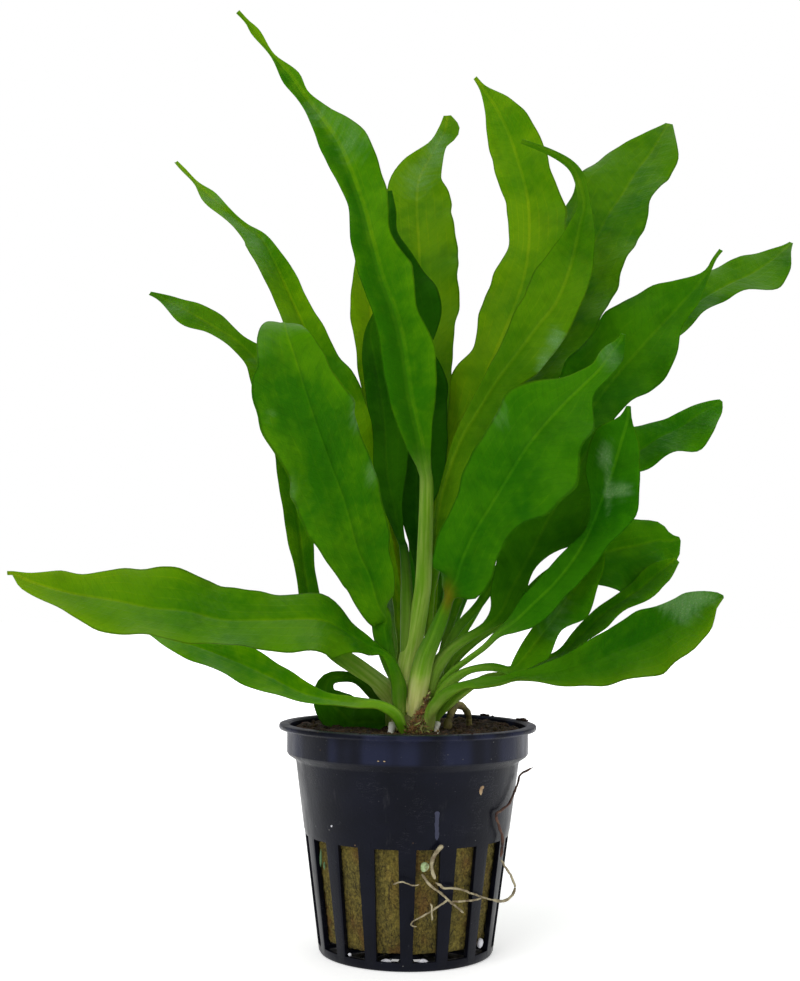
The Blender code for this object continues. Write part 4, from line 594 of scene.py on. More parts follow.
@dataclass
class Graph:
    """Lays shader nodes in a tree and links them.

    Attributes:
        tree: The material's or the group's node tree.
    """

    tree: bpy.types.NodeTree

    def feed(self, socket: Socket, value: Value) -> None:
        """Link a socket into another one, or set it to a plain value.

        Args:
            socket: The input to feed.
            value: An output socket, a number, a colour or None, which leaves the input alone.
        """
        if isinstance(value, Socket):
            self.tree.links.new(value, socket)
        elif value is not None:
            socket.default_value = value

    def dress(self, node: bpy.types.Node, **values: Value) -> None:
        """Feed a node's inputs by name, with _ for a space."""
        for name, value in values.items():
            self.feed(node.inputs[name.replace("_", " ")], value)

    def node(self, kind: str, **settings: object) -> bpy.types.Node:
        """Add a node of a kind and set its properties."""
        made = self.tree.nodes.new(kind)
        for name, value in settings.items():
            setattr(made, name, value)
        return made

    def maths(
        self, operation: str, first: Value, second: Value = None, third: Value = None, clamp: bool = False
    ) -> Socket:
        """One Math node.

        Args:
            operation: Blender's name of the operation.
            first: Its first value, a socket or a number.
            second: Its second value, if it takes one.
            third: Its third value, if it takes one.
            clamp: Whether the result is held between 0 and 1.

        Returns:
            The result's socket.
        """
        made = self.node("ShaderNodeMath", operation=operation, use_clamp=clamp)
        for socket, value in zip(made.inputs, (first, second, third)):
            self.feed(socket, value)
        return made.outputs[0]

    def times(self, first: Value, second: Value) -> Socket:
        """The product of two values."""
        return self.maths("MULTIPLY", first, second)

    def size(self, value: Value) -> Socket:
        """A value without its sign."""
        return self.maths("ABSOLUTE", value)

    def total(self, *terms: tuple) -> Socket:
        """The sum of values that come as pairs with their weights."""
        reached = 0.0
        for value, weight in terms:
            reached = self.maths("MULTIPLY_ADD", value, weight, reached)
        return reached

    def mix(self, share: Value, first: Value, second: Value, blend: str = "MIX") -> Socket:
        """Mix two colours by a share and return the mixed colour's socket."""
        made = self.node("ShaderNodeMix", data_type="RGBA", blend_type=blend)
        for number, value in ((0, share), (6, first), (7, second)):
            self.feed(made.inputs[number], value)
        return made.outputs[2]

    def layered(self, colour: Value, *layers: tuple) -> Socket:
        """Lay colours over a first one.

        Args:
            colour: The first colour.
            layers: A share, a colour and, where it isn't plain mixing, the blend of each layer.

        Returns:
            The colour's socket.
        """
        for share, tint, *blend in layers:
            colour = self.mix(share, colour, tint, *blend)
        return colour

    def band(self, value: Value, low: float, high: float, start: float = 0.0, end: float = 1.0) -> Socket:
        """Map a value from low to high smoothly to start to end and return the socket."""
        made = self.node("ShaderNodeMapRange", interpolation_type="SMOOTHSTEP")
        for socket, number in zip(made.inputs, (value, low, high, start, end)):
            self.feed(socket, number)
        return made.outputs[0]

    def line(self, value: Value, middle: float, width: float) -> Socket:
        """A mask that is 1 where a value meets its middle and fades to 0 within a width."""
        return self.band(self.size(self.maths("SUBTRACT", value, middle)), width, 0.0)

    def joined(self, *values: Value) -> Socket:
        """The vector of up to three values."""
        made = self.node("ShaderNodeCombineXYZ")
        for socket, value in zip(made.inputs, values):
            self.feed(socket, value)
        return made.outputs[0]

    def noise(
        self, where: Socket, size: float, detail: float = 2.0, seed: Value = 0.0, rough: float = 0.5,
        bend: float = 0.0,
    ) -> Socket:
        """A noise whose features are about size across, in the units of where."""
        made = self.node("ShaderNodeTexNoise", noise_dimensions="4D")
        self.dress(
            made, Vector=where, W=seed, Scale=1.0 / size, Detail=detail, Roughness=rough, Distortion=bend
        )
        return made.outputs["Fac"]

    def cells(self, where: Socket, size: float, feature: str = "F1") -> Socket:
        """Distances in Voronoi cells about size across, in the units of where."""
        made = self.node("ShaderNodeTexVoronoi", feature=feature)
        self.dress(made, Vector=where, Scale=1.0 / size)
        return made.outputs["Distance"]

    def place(self, stretch: tuple = (1.0, 1.0, 1.0)) -> Socket:
        """The point on the object in millimetres, stretched along its axes."""
        made = self.node("ShaderNodeVectorMath", operation="MULTIPLY")
        self.feed(made.inputs[0], self.node("ShaderNodeTexCoord").outputs["Object"])
        self.feed(made.inputs[1], tuple(share / MM for share in stretch))
        return made.outputs[0]

    def parts(self, vector: Socket) -> tuple:
        """The three numbers of a vector."""
        made = self.node("ShaderNodeSeparateXYZ")
        self.feed(made.inputs[0], vector)
        return tuple(made.outputs)

    def painted(self) -> tuple:
        """The red, green, blue and alpha of a mesh's own colour layer."""
        made = self.node("ShaderNodeAttribute", attribute_name=PAINT_LAYER)
        split = self.node("ShaderNodeSeparateColor")
        self.feed(split.inputs[0], made.outputs["Color"])
        return (*tuple(split.outputs)[:3], made.outputs["Alpha"])

    def unwrapped(self, layer: str) -> tuple:
        """The u and v of one of a mesh's UV maps."""
        return self.parts(self.node("ShaderNodeUVMap", uv_map=layer).outputs[0])[:2]

    def call(self, group: bpy.types.NodeTree, **values: Value) -> dict:
        """Place a node group with its own values, named with _ for a space, and return its outputs."""
        made = self.node("ShaderNodeGroup", node_tree=group)
        self.dress(made, **values)
        return {socket.name: socket for socket in made.outputs}


def new_group(name: str, inputs: dict, outputs: dict) -> tuple[Graph, dict, bpy.types.Node]:
    """Start a shader node group.

    Args:
        name: The group's name.
        inputs: Kind of socket by name: "Color", "Float" or "Vector".
        outputs: The same for the outputs.

    Returns:
        The graph to build it with, its input sockets by name, and its output node.
    """
    tree = bpy.data.node_groups.new(name, "ShaderNodeTree")
    for way, sockets in (("INPUT", inputs), ("OUTPUT", outputs)):
        for label, kind in sockets.items():
            tree.interface.new_socket(name=label, in_out=way, socket_type=f"NodeSocket{kind}")
    graph = Graph(tree)
    start = graph.node("NodeGroupInput")
    return graph, {s.name: s for s in start.outputs if s.name}, graph.node("NodeGroupOutput")


def new_material(name: str) -> tuple[bpy.types.Material, Graph, bpy.types.Node]:
    """Start a material and return it with its graph and its Principled shader."""
    material = bpy.data.materials.new(name)
    material.use_nodes = True
    graph = Graph(material.node_tree)
    return material, graph, material.node_tree.nodes["Principled BSDF"]


def add_bump(graph: Graph, shader: bpy.types.Node, height: Socket, depth: float) -> None:
    """Feed the shader's normal with a bump.

    Args:
        graph: The material's graph.
        shader: Its Principled shader.
        height: The socket with the height, from 0 to 1.
        depth: How far 0 and 1 lie apart, in millimetres.
    """
    bump = graph.node("ShaderNodeBump")
    graph.dress(bump, Strength=1.0, Distance=depth * MM, Height=height)
    graph.dress(shader, Normal=bump.outputs[0])


def veins_group() -> bpy.types.NodeTree:
    """Masks of a blade's veins, read from its two UV maps: the long ones, the cross ones and the net."""
    graph, inputs, end = new_group(
        "blade veins", {"Seed": "Float"}, dict.fromkeys(("Long", "Cross", "Net", "Across"), "Float")
    )
    share, _ = graph.unwrapped(SHARE_MAP)
    across_cm, along_cm = graph.unwrapped(METRIC_MAP)
    across = graph.size(graph.maths("MULTIPLY_ADD", share, 2.0, -1.0))
    long_veins = 0.0
    for place, width in LONG_VEINS:
        long_veins = graph.maths("MAXIMUM", long_veins, graph.line(across, place, width * 2.2))
    spot = graph.joined(across_cm, along_cm, inputs["Seed"])
    wander = graph.noise(spot, 0.5, seed=inputs["Seed"])
    run = graph.maths("SUBTRACT", along_cm, graph.times(graph.size(across_cm), CROSS_VEIN_SLANT))
    run = graph.maths("ADD", run, graph.times(wander, 0.35))
    beat = graph.maths("SINE", graph.times(run, 2 * math.pi / CROSS_VEIN_SPACING))
    graph.dress(
        end,
        Long=long_veins,
        Cross=graph.band(graph.size(beat), 0.28, 0.0),
        Net=graph.band(graph.cells(spot, 0.12, feature="DISTANCE_TO_EDGE"), 0.12, 0.0),
        Across=across,
    )
    return graph.tree


def bleached_colour(graph: Graph, base: Value, share: Socket, streak: Socket) -> Socket:
    """Mix a base colour with pale green up to a share of 1 and with cream up to 2.

    Args:
        graph: The graph to build in.
        base: The colour of the healthy tissue.
        share: The socket with the share.
        streak: A noise that streaks the pale tissue.

    Returns:
        The colour's socket.
    """
    light = graph.band(streak, 0.3, 0.75)
    return graph.layered(
        base,
        (graph.maths("ADD", share, 0.0, clamp=True), graph.mix(light, *PALE_GREEN)),
        (graph.maths("SUBTRACT", share, 1.0, clamp=True), graph.mix(light, *CREAM)),
    )


def tissue_group(veins: bpy.types.NodeTree) -> bpy.types.NodeTree:
    """Colour, roughness and relief of living leaf tissue.

    The colour layer holds the bleached share in red, painted sheen in green (rust below 0), the
    yellowing in blue (painted shade below 0), and 1 in alpha on the leaf's underside.

    Args:
        veins: The group of vein masks.

    Returns:
        The group.
    """
    graph, inputs, end = new_group(
        "leaf tissue",
        {"Deep": "Color", "Light": "Color", "Rib Width": "Float", "Rib Glow": "Float", "Seed": "Float"},
        {"Color": "Color", "Roughness": "Float", "Height": "Float"},
    )
    seed = inputs["Seed"]
    masks = graph.call(veins, Seed=seed)
    bleached, sheen_and_rust, yellowing_and_shade, under = graph.painted()
    across_cm, along_cm = graph.unwrapped(METRIC_MAP)
    place = graph.place()
    cloud = graph.noise(place, 16.0, 3.0, seed)
    fleck = graph.noise(place, 2.2, 3.0, seed)
    grain = graph.noise(place, 0.35, 2.0)
    blotch = graph.noise(place, 5.5, 3.0, graph.maths("ADD", seed, 40.0))
    fine = graph.joined(graph.times(across_cm, 14.0), graph.times(along_cm, 0.9))
    streak = graph.noise(fine, 1.0, 2.0, seed)
    slant = graph.maths("MULTIPLY_ADD", graph.size(across_cm), -4.0, graph.times(along_cm, 8.0))
    wrinkle = graph.noise(graph.joined(graph.times(across_cm, 2.2), slant), 1.0, 2.0, seed)

    tone = graph.maths("MULTIPLY_ADD", yellowing_and_shade, 0.8, graph.band(cloud, 0.36, 0.68), clamp=True)
    tone = graph.maths("ADD", tone, graph.band(fleck, 0.35, 0.75, -0.18, 0.22), clamp=True)
    fading = graph.band(graph.noise(place, 7.0, 1.0, seed), 0.35, 0.65, 0.05, 0.40)
    beside = graph.maths("DIVIDE", graph.size(across_cm), inputs["Rib Width"])
    colour = graph.layered(
        graph.mix(tone, inputs["Deep"], inputs["Light"]),
        (graph.maths("MULTIPLY_ADD", yellowing_and_shade, 1.3, -0.65, clamp=True), YELLOWED),
        # Painted shade: where the blue falls below 0 the colour is multiplied darker.
        (graph.maths("MULTIPLY", yellowing_and_shade, -1.0, clamp=True), PAINTED_SHADE_TINT, "MULTIPLY"),
        (graph.times(masks["Cross"], 0.45), CROSS_TINT, "MULTIPLY"),
        (graph.times(masks["Long"], fading), LONG_TINT, "MULTIPLY"),
        (under, UNDERSIDE_TINT, "MULTIPLY"),
        (graph.times(graph.band(blotch, 0.50, 0.70), 0.7), BLOTCH_TINT, "MULTIPLY"),
        (graph.times(graph.band(beside, 1.25, 0.55), inputs["Rib Glow"]), RIB_TINT, "MULTIPLY"),
        (graph.times(graph.band(masks["Across"], 0.93, 0.985), 0.75), MARGIN_TINT, "MULTIPLY"),
    )
    # Painted sheen: where the green is above 0, a grey-green glossy reflection is laid on as colour; below 0
    # it is rust.
    ragged = graph.maths("MULTIPLY_ADD", graph.band(wrinkle, 0.3, 0.7, -0.5, 0.5), 0.20, sheen_and_rust)
    painted_sheen_mask = graph.times(graph.band(ragged, 0.15, 0.85, 0.0, 0.80), graph.band(sheen_and_rust, 0.0, 0.25))
    colour = graph.layered(
        bleached_colour(graph, colour, bleached, streak),
        (graph.maths("MULTIPLY", sheen_and_rust, -1.0, clamp=True), RUST),
        (painted_sheen_mask, graph.mix(graph.band(grain, 0.4, 0.8), *PAINTED_SHEEN)),
    )
    graph.dress(
        end,
        Color=colour,
        Roughness=graph.total(
            (graph.band(cloud, 0.3, 0.75, 0.36, 0.48), 1.0), (painted_sheen_mask, -0.08), (under, 0.07)
        ),
        Height=graph.total(
            (masks["Net"], 0.10), (masks["Cross"], 0.12), (masks["Long"], 0.15), (wrinkle, 1.1), (fleck, -1.6)
        ),
    )
    return graph.tree


@dataclass(frozen=True)
class LeafFinish:
    """The look of one leaf.

    Attributes:
        tissue: The group of living tissue.
        tone: Its colours, with painted light on backlit leaves and painted shade on shaded ones.
        traits: What sets it apart.
        seed: Number that makes its mottling its own.
    """

    tissue: bpy.types.NodeTree
    tone: Tone
    traits: LeafTraits
    seed: float

    def material(self, name: str) -> bpy.types.Material:
        """Build the leaf's material."""
        made, graph, shader = new_material(name)
        # Tone and tint hold painted light and painted shade as well as the leaf's own colour.
        red, green = self.traits.tint
        deep, light = ((r * red, g * green, b, a) for r, g, b, a in self.tone.value)
        look = graph.call(
            self.tissue, Deep=deep, Light=light, Rib_Width=self.traits.rib / 10,
            Rib_Glow=self.traits.rib_glow, Seed=self.seed,
        )
        graph.dress(
            shader,
            Base_Color=look["Color"],
            Roughness=look["Roughness"],
            Specular_IOR_Level=0.09,
            Specular_Tint=(0.50, 0.80, 0.12, 1.0),
            Subsurface_Weight=0.12,
            Subsurface_Radius=(0.35, 1.0, 0.05),
            Subsurface_Scale=0.6 * MM,
        )
        add_bump(graph, shader, look["Height"], 0.12)
        return made


def read_curve(points: np.ndarray, where: np.ndarray) -> np.ndarray:
    """Read a smooth curve through points.

    Args:
        points: One row of numbers for each point.
        where: Places along it, from 0 at the first point to the last point's index.

    Returns:
        One row of numbers for each place.
    """
    last = len(points) - 1
    index = np.clip(where.astype(int), 0, last - 1)
    t = (where - index)[:, None]
    before, start = points[np.maximum(index - 1, 0)], points[index]
    end, after = points[index + 1], points[np.minimum(index + 2, last)]
    leave, arrive = (end - before) / 2, (after - start) / 2
    return (
        start * (2 * t**3 - 3 * t**2 + 1)
        + end * (3 * t**2 - 2 * t**3)
        + leave * (t**3 - 2 * t**2 + t)
        + arrive * (t**3 - t**2)
    )


def even_curve(points: list, spacing: float) -> tuple[np.ndarray, np.ndarray, np.ndarray]:
    """Read a smooth curve at evenly spaced places.

    Args:
        points: Rows whose first three numbers are x, y and z.
        spacing: Distance between two places, about.

    Returns:
        The rows of the curve, how far along it each of them lies, and at which point.
    """
    given = np.array(points, dtype=float)
    dense = np.linspace(0.0, len(given) - 1.0, 30 * (len(given) - 1) + 1)
    steps = np.linalg.norm(np.diff(read_curve(given, dense)[:, :3], axis=0), axis=1)
    reached = np.concatenate([[0.0], np.cumsum(steps)])
    count = max(3, round(reached[-1] / spacing))
    far = np.linspace(0.0, reached[-1], count + 1)
    where = np.interp(far, reached, dense)
    return read_curve(given, where), far, where


def unit(vectors: np.ndarray) -> np.ndarray:
    """Scale each row to length 1."""
    return vectors / np.maximum(np.linalg.norm(vectors, axis=-1, keepdims=True), 1e-9)


def smooth_share(value: np.ndarray, low: float, high: float) -> np.ndarray:
    """Map low to high smoothly to 0 to 1."""
    t = np.clip((value - low) / (high - low), 0.0, 1.0)
    return t * t * (3 - 2 * t)


def turns(count: int) -> np.ndarray:
    """Angles evenly round a full turn."""
    return np.linspace(0, 2 * math.pi, count, endpoint=False)


def polar(reach: Numbers, turn: Numbers, height: Numbers = 0.0) -> np.ndarray:
    """Points at distances from the pot's axis, at angles round it and at heights."""
    return np.stack(np.broadcast_arrays(reach * np.cos(turn), reach * np.sin(turn), height), axis=-1)


def there_and_back(values: np.ndarray) -> np.ndarray:
    """The values of a blade's front from left to right, then those of its back without the ends."""
    return np.concatenate([values, values[..., -2:0:-1]], axis=-1)


def put(name: str, data: bpy.types.ID) -> bpy.types.Object:
    """Place a new object in the scene."""
    item = bpy.data.objects.new(name, data)
    bpy.context.scene.collection.objects.link(item)
    return item


@dataclass
class Skin:
    """A mesh that is being put together from closed lofted and loose bits.

    Attributes:
        points: Blocks of points in millimetres.
        faces: Faces as lists of point numbers.
        paint: Blocks of one red, green, blue and alpha for each point.
        maps: Blocks of one u and v for each point, by UV map.
        count: Points so far.
    """

    points: list = field(default_factory=list)
    faces: list = field(default_factory=list)
    paint: list = field(default_factory=list)
    maps: dict = field(default_factory=dict)
    count: int = 0

    def loft(
        self, rings: np.ndarray, paint: tuple | np.ndarray = (0.0, 0.0, 0.0, 0.0), **maps: np.ndarray
    ) -> None:
        """Add a closed body through rings of points, capped at both ends.

        Args:
            rings: Points in millimetres, by ring and by place in the ring.
            paint: One colour for all points, or one for each, by ring and place.
            maps: u and v of each point, by ring and place, by UV map.
        """
        rows, around = rings.shape[:2]
        corner = self.count + np.arange(rows * around).reshape(rows, around)
        after = np.roll(corner, -1, axis=1)
        quads = np.stack([corner[:-1], after[:-1], after[1:], corner[1:]], axis=-1).reshape(-1, 4)
        self.faces += [*quads.tolist(), corner[0][::-1].tolist(), corner[-1].tolist()]
        self.points.append(rings.reshape(-1, 3))
        self.paint.append(np.broadcast_to(np.array(paint, dtype=float), (rows, around, 4)).reshape(-1, 4))
        for name, pairs in maps.items():
            self.maps.setdefault(name, []).append(pairs.reshape(-1, 2))
        self.count += rows * around

    def mesh(self, name: str) -> bpy.types.Mesh:
        """Make the mesh, with its points and faces only."""
        made = bpy.data.meshes.new(name)
        made.from_pydata((np.concatenate(self.points) * MM).tolist(), [], self.faces)
        return made

    def piece(
        self, name: str, material: bpy.types.Material, nodes: tuple = (), sharp: float = 60.0
    ) -> bpy.types.Object:
        """Make the object that rides on the plant's body.

        Args:
            name: The object's name.
            material: Its material.
            nodes: The CAD nodes that it stands for.
            sharp: Angle in degrees from which an edge is shaded sharp.

        Returns:
            The object.
        """
        mesh = self.mesh(name)
        layer = mesh.color_attributes.new(PAINT_LAYER, "FLOAT_COLOR", "POINT")
        layer.data.foreach_set("color", np.concatenate(self.paint).astype(np.float32).ravel())
        corners = np.empty(len(mesh.loops), dtype=np.int32)
        mesh.loops.foreach_get("vertex_index", corners)
        for label, blocks in self.maps.items():
            pairs = np.concatenate(blocks).astype(np.float32)[corners]
            mesh.uv_layers.new(name=label).data.foreach_set("uv", pairs.ravel())
        mesh.materials.append(material)
        mesh.shade_smooth()
        mesh.set_sharp_from_angle(angle=math.radians(sharp))
        item = put(name, mesh)
        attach(item, BODY)
        if nodes:
            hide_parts(*nodes)
        LOG.info("%s: %d faces", name, len(mesh.polygons))
        return item


def tube_rings(line: np.ndarray, radii: np.ndarray, sides: int) -> np.ndarray:
    """Rings of a round tube along a line.

    Args:
        line: Points of its middle.
        radii: Its radius at each point.
        sides: Points in a ring.

    Returns:
        The rings' points.
    """
    along = unit(np.gradient(line, axis=0))
    hint = np.array([0.0, 0.0, 1.0]) if abs(along[:, 2]).mean() < 0.8 else np.array([1.0, 0.0, 0.0])
    side = unit(np.cross(along, hint))
    face = np.cross(side, along)
    turn = turns(sides)
    spread = side[:, None] * np.cos(turn)[None, :, None] + face[:, None] * np.sin(turn)[None, :, None]
    return line[:, None] + spread[:, ::-1] * radii[:, None, None]


def crumb(
    skin: Skin, chance: np.random.Generator, place: tuple, size: float, paint: tuple, shape: tuple = (1, 1, 1)
) -> None:
    """Add a small irregular lump.

    Args:
        skin: The skin it joins.
        chance: Random numbers for its form.
        place: Its middle.
        size: Its radius.
        paint: Its colour layer.
        shape: How far it is stretched along each axis.
    """
    rings = []
    for height in (-0.92, -0.45, 0.25, 0.88):
        around = math.sqrt(1 - height**2) * chance.uniform(0.75, 1.15, 6)
        rings.append(polar(around, turns(6), height))
    turned = np.array(Euler(chance.uniform(0, 6.28, 3)).to_matrix())
    lump = (np.array(rings) * size) @ turned.T * np.array(shape)
    skin.loft(lump + np.array(place), paint)


def crown_axis(height: float) -> np.ndarray:
    """The point of the crown's leaning axis at a height."""
    share = (height - CROWN_BOTTOM) / (CROWN_TOP - CROWN_BOTTOM)
    foot, head = np.array(CROWN_FOOT), np.array(CROWN_HEAD)
    return np.append(foot + (head - foot) * share, height)


@dataclass
class Blade:
    """Where the points of a leaf's surface lie on the leaf: rows run along it and columns across it.

    Attributes:
        u: Places across it, from -1 at the left margin to 1 at the right one, by column.
        width: Width of each place's half, by row and column.
        far: How far along the leaf each row lies.
        share: The same, from 0 to 1.
        stalk: 1 along the petiole and 0 in the blade, by row.
        clasp: 1 along the sheath and 0 above it, by row.
    """

    u: np.ndarray
    width: np.ndarray
    far: np.ndarray
    share: np.ndarray
    stalk: np.ndarray
    clasp: np.ndarray


@dataclass
class LeafBuilder:
    """Builds one leaf's fine surface along its CAD stations.

    Attributes:
        shape: The leaf's stations and facing.
        traits: What sets it apart.
        chance: Its own random numbers.
        columns: Cells across the blade.
        spacing: Length of one cell along it.
    """

    shape: LeafShape
    traits: LeafTraits
    chance: np.random.Generator
    columns: int = 24
    spacing: float = 1.1

    def across(self) -> np.ndarray:
        """Places from margin to margin, closer together near the midrib and the margins."""
        even = np.linspace(-1.0, 1.0, self.columns + 1)
        return even - 0.07 * np.sin(2 * math.pi * even) - 0.02 * np.sin(4 * math.pi * even)

    def rooted(self) -> tuple[list, int]:
        """The leaf's stations with its sheath, from the crown up, and how many the sheath has."""
        name = self.shape.name
        stations = self.shape.stations + TAILS.get(name, [])
        if name in SHEATHS:
            skipped, sheath = SHEATHS[name]
            return sheath + stations[skipped:], len(sheath)
        foot = np.array(stations[0][:3], dtype=float)
        outward = foot[:2] - crown_axis(foot[2])[:2]
        reach = float(np.linalg.norm(outward))
        hug = np.append(outward / reach, 0.0)
        sheath = [(*(crown_axis(CROWN_BOTTOM + 1.0) + hug * 3.4), 2.4, 2.4)]
        if foot[2] > HIGH_FOOT:
            halfway = crown_axis((CROWN_BOTTOM + foot[2]) / 2)
            sheath.append((*(halfway + hug * (0.6 * min(reach, 4.2) + 1.4)), 2.2, 2.2))
        return sheath + stations, len(sheath)

    def build(self, skin: Skin) -> None:
        """Add the leaf to a skin."""
        stations, sheath = self.rooted()
        rows, far, where = even_curve(stations, self.spacing)
        line, halves = rows[:, :3], np.maximum(rows[:, 3:5], NARROWEST_HALF)
        along = unit(np.gradient(line, axis=0))
        share = (far / far[-1])[:, None]
        start, end = (np.array(vector, dtype=float) for vector in self.shape.facing)
        facing = start * (1 - share) + end * share
        face = unit(facing - along * (facing * along).sum(axis=1, keepdims=True))
        side = np.cross(along, face)
        if self.traits.fuller:
            heights, *more = zip(*self.traits.fuller)
            halves = halves + np.stack([np.interp(line[:, 2], heights, extra) for extra in more], axis=1)
        stalk = self.stalk_share(np.where(where > sheath, halves.sum(axis=1), 0.0), far)[:, None]
        halves = halves * (1 + np.stack([self.crimp(far), self.crimp(far + 50.0)], axis=1) * (1 - stalk))
        u = self.across()
        blade = Blade(
            u=u,
            width=np.where(u > 0, halves[:, 1:], halves[:, :1]),
            far=far[:, None],
            share=share,
            stalk=stalk,
            clasp=1 - smooth_share(where, sheath - 1.6, sheath + 0.6)[:, None],
        )
        middle = self.middle(blade)
        front, back = self.thickness(blade)
        across = u * blade.width
        sideways = across * math.cos(math.radians(self.shape.fold))
        lift = np.concatenate([middle + front, (middle - back)[:, -2:0:-1]], axis=1)
        rings = line[:, None] + side[:, None] * there_and_back(sideways)[..., None]
        rings = rings + face[:, None] * lift[..., None]
        around = there_and_back(u)
        shares = np.stack(np.broadcast_arrays((around + 1) / 2, share), axis=-1)
        metric = np.stack(np.broadcast_arrays(there_and_back(across) / 10, blade.far / 10), axis=-1)
        skin.loft(rings, self.paint(rings, around, blade), **{SHARE_MAP: shares, METRIC_MAP: metric})

    def crimp(self, far: np.ndarray) -> np.ndarray:
        """Small uneven waves of a margin, as a share of its width, by row."""
        shift = float(len(self.shape.stations)) + self.shape.stations[-1][0]
        waves = np.zeros_like(far)
        for number, (high, length) in enumerate(MARGIN_WAVES, 1):
            waves += high * np.sin(far / length + number * shift)
        return 0.011 * waves

    def stalk_share(self, widths: np.ndarray, far: np.ndarray) -> np.ndarray:
        """1 along the petiole and 0 in the blade, by row."""
        wide = np.nonzero(widths > 0.42 * widths.max())[0]
        begin = far[wide[0]]
        return 1 - smooth_share(far, begin - 9.0, begin + 3.0)

    def middle(self, blade: Blade) -> np.ndarray:
        """How far the surface's middle lies in front of the midrib, by row and column."""
        near = np.abs(blade.u)
        rise = math.sin(math.radians(self.shape.fold))
        flat = 1 - blade.stalk
        lean = -1.0 if self.traits.underside else 1.0
        cup = 0.4 * lean * (1 - blade.clasp) - 0.45 * blade.clasp
        height = near * blade.width * rise * flat + cup * blade.stalk * blade.width * near**2
        waves = np.zeros_like(height)
        for sign in (-1, 1):
            length = self.chance.uniform(13, 19)
            phase = self.chance.uniform(0, 2 * math.pi)
            bend = np.sin(2 * math.pi * blade.far / length + phase + 1.3 * np.sin(blade.far / 23.0 + phase))
            waves += np.where(np.sign(blade.u) == sign, bend * near**2.4, 0.0)
        height += waves * blade.width * self.traits.ruffle * flat
        swell = np.sin(blade.far / self.chance.uniform(7, 10) + self.chance.uniform(0, 6))
        height += swell * (near * (1 - near**2) * 2.2) * 0.030 * blade.width * flat
        for place, _ in LONG_VEINS:
            height -= 0.05 * np.exp(-(((near - place) * blade.width) / 0.45) ** 2) * flat
        return height

    def thickness(self, blade: Blade) -> tuple[np.ndarray, np.ndarray]:
        """How far the front and the back face lie from the middle, by row and column."""
        near = np.abs(blade.u)
        rim = np.sqrt(np.maximum(1 - near**6, 0.0))
        thin = (0.17 - 0.06 * blade.share) * rim
        taper = (1 - blade.share) ** 0.7
        ridge = (0.12 + 0.60 * taper) * np.exp(-((near * blade.width / (0.20 + 0.45 * taper)) ** 2)) * rim
        groove = -0.22 * ridge
        round_off = np.sqrt(np.maximum(1 - near**2, 0.0))
        thick = np.minimum(blade.width, 1.5) * 0.55
        outer = thick * round_off**0.9
        inner = thick * (0.55 * round_off - 0.42 * (1 - near**2))
        out = (thin + ridge) * (1 - blade.stalk) + outer * blade.stalk
        into = (thin + groove) * (1 - blade.stalk) + inner * blade.stalk
        front, back = (out, into) if self.traits.underside else (into, out)
        return front * (1 - blade.clasp) + out * blade.clasp, back * (1 - blade.clasp) + into * blade.clasp

    def paint(self, rings: np.ndarray, around: np.ndarray, blade: Blade) -> np.ndarray:
        """Bleached share, painted sheen (rust below 0), yellowing (painted shade below 0) and underside of
        each point.

        Args:
            rings: The points.
            around: Their places across the blade, round the ring.
            blade: Where they lie on the leaf.

        Returns:
            The four numbers of each point.
        """
        made = np.zeros((*rings.shape[:2], 4))
        heights, shares = zip(*self.traits.pale)
        made[..., 0] = np.interp(rings[..., 2], heights, shares) * blade.stalk
        # Green: patches of painted sheen, and rust where the strength is below 0.
        for x, z, wide, high, strength in self.traits.patches:
            spot = ((rings[..., 0] - x) / wide) ** 2 + ((rings[..., 2] - z) / high) ** 2
            made[..., 1] += strength * np.exp(-spot)
        # Blue: yellowing, and painted shade on a half or at the foot where it falls below 0.
        left, right = self.traits.halves
        foot, tip = self.traits.aging_and_shade
        halves = left + (right - left) * smooth_share(around, -0.06, 0.06)
        aging_and_shade = foot + (tip - foot) * blade.share**1.5
        made[..., 2] = np.clip(0.35 * np.abs(around) ** 3 + halves + aging_and_shade, -1, 1.5)
        behind = np.arange(len(around)) > len(around) // 2
        made[..., 3] = behind != self.traits.underside
        return made


@dataclass
class Foliage:
    """All the leaves.

    Attributes:
        tissue: The group of living tissue.
    """

    tissue: bpy.types.NodeTree

    def build(self) -> None:
        """Make each leaf on its CAD node."""
        for number, shape in enumerate(LEAVES):
            traits = TRAITS.get(shape.name, LeafTraits())
            skin = Skin()
            LeafBuilder(shape, traits, np.random.default_rng(number + 11)).build(skin)
            look = LeafFinish(self.tissue, shape.tone, traits, number * 3.7)
            skin.piece(f"{shape.name}_surface", look.material(shape.name), (shape.name,))


@dataclass(frozen=True)
class CrownFinish:
    """Fleshy stump: green above, cream near the wool, with torn brown tissue."""

    def material(self) -> bpy.types.Material:
        """Build the crown's material."""
        made, graph, shader = new_material("crown flesh")
        pale, torn, _, _ = graph.painted()
        streak = graph.noise(graph.place((2.6, 2.6, 0.4)), 1.3, 2.0)
        cloud = graph.noise(graph.place(), 1.0, 3.0)
        colour = bleached_colour(graph, (0.05, 0.16, 0.005, 1.0), pale, streak)
        scar = graph.mix(graph.band(cloud, 0.35, 0.65), (0.050, 0.014, 0.006, 1.0), (0.23, 0.085, 0.030, 1.0))
        graph.dress(
            shader,
            Base_Color=graph.mix(torn, colour, scar),
            Roughness=graph.band(cloud, 0.3, 0.7, 0.34, 0.5),
            Specular_IOR_Level=0.3,
            Subsurface_Weight=0.2,
            Subsurface_Radius=(0.8, 1.0, 0.4),
            Subsurface_Scale=0.8 * MM,
        )
        add_bump(graph, shader, streak, 0.10)
        return made


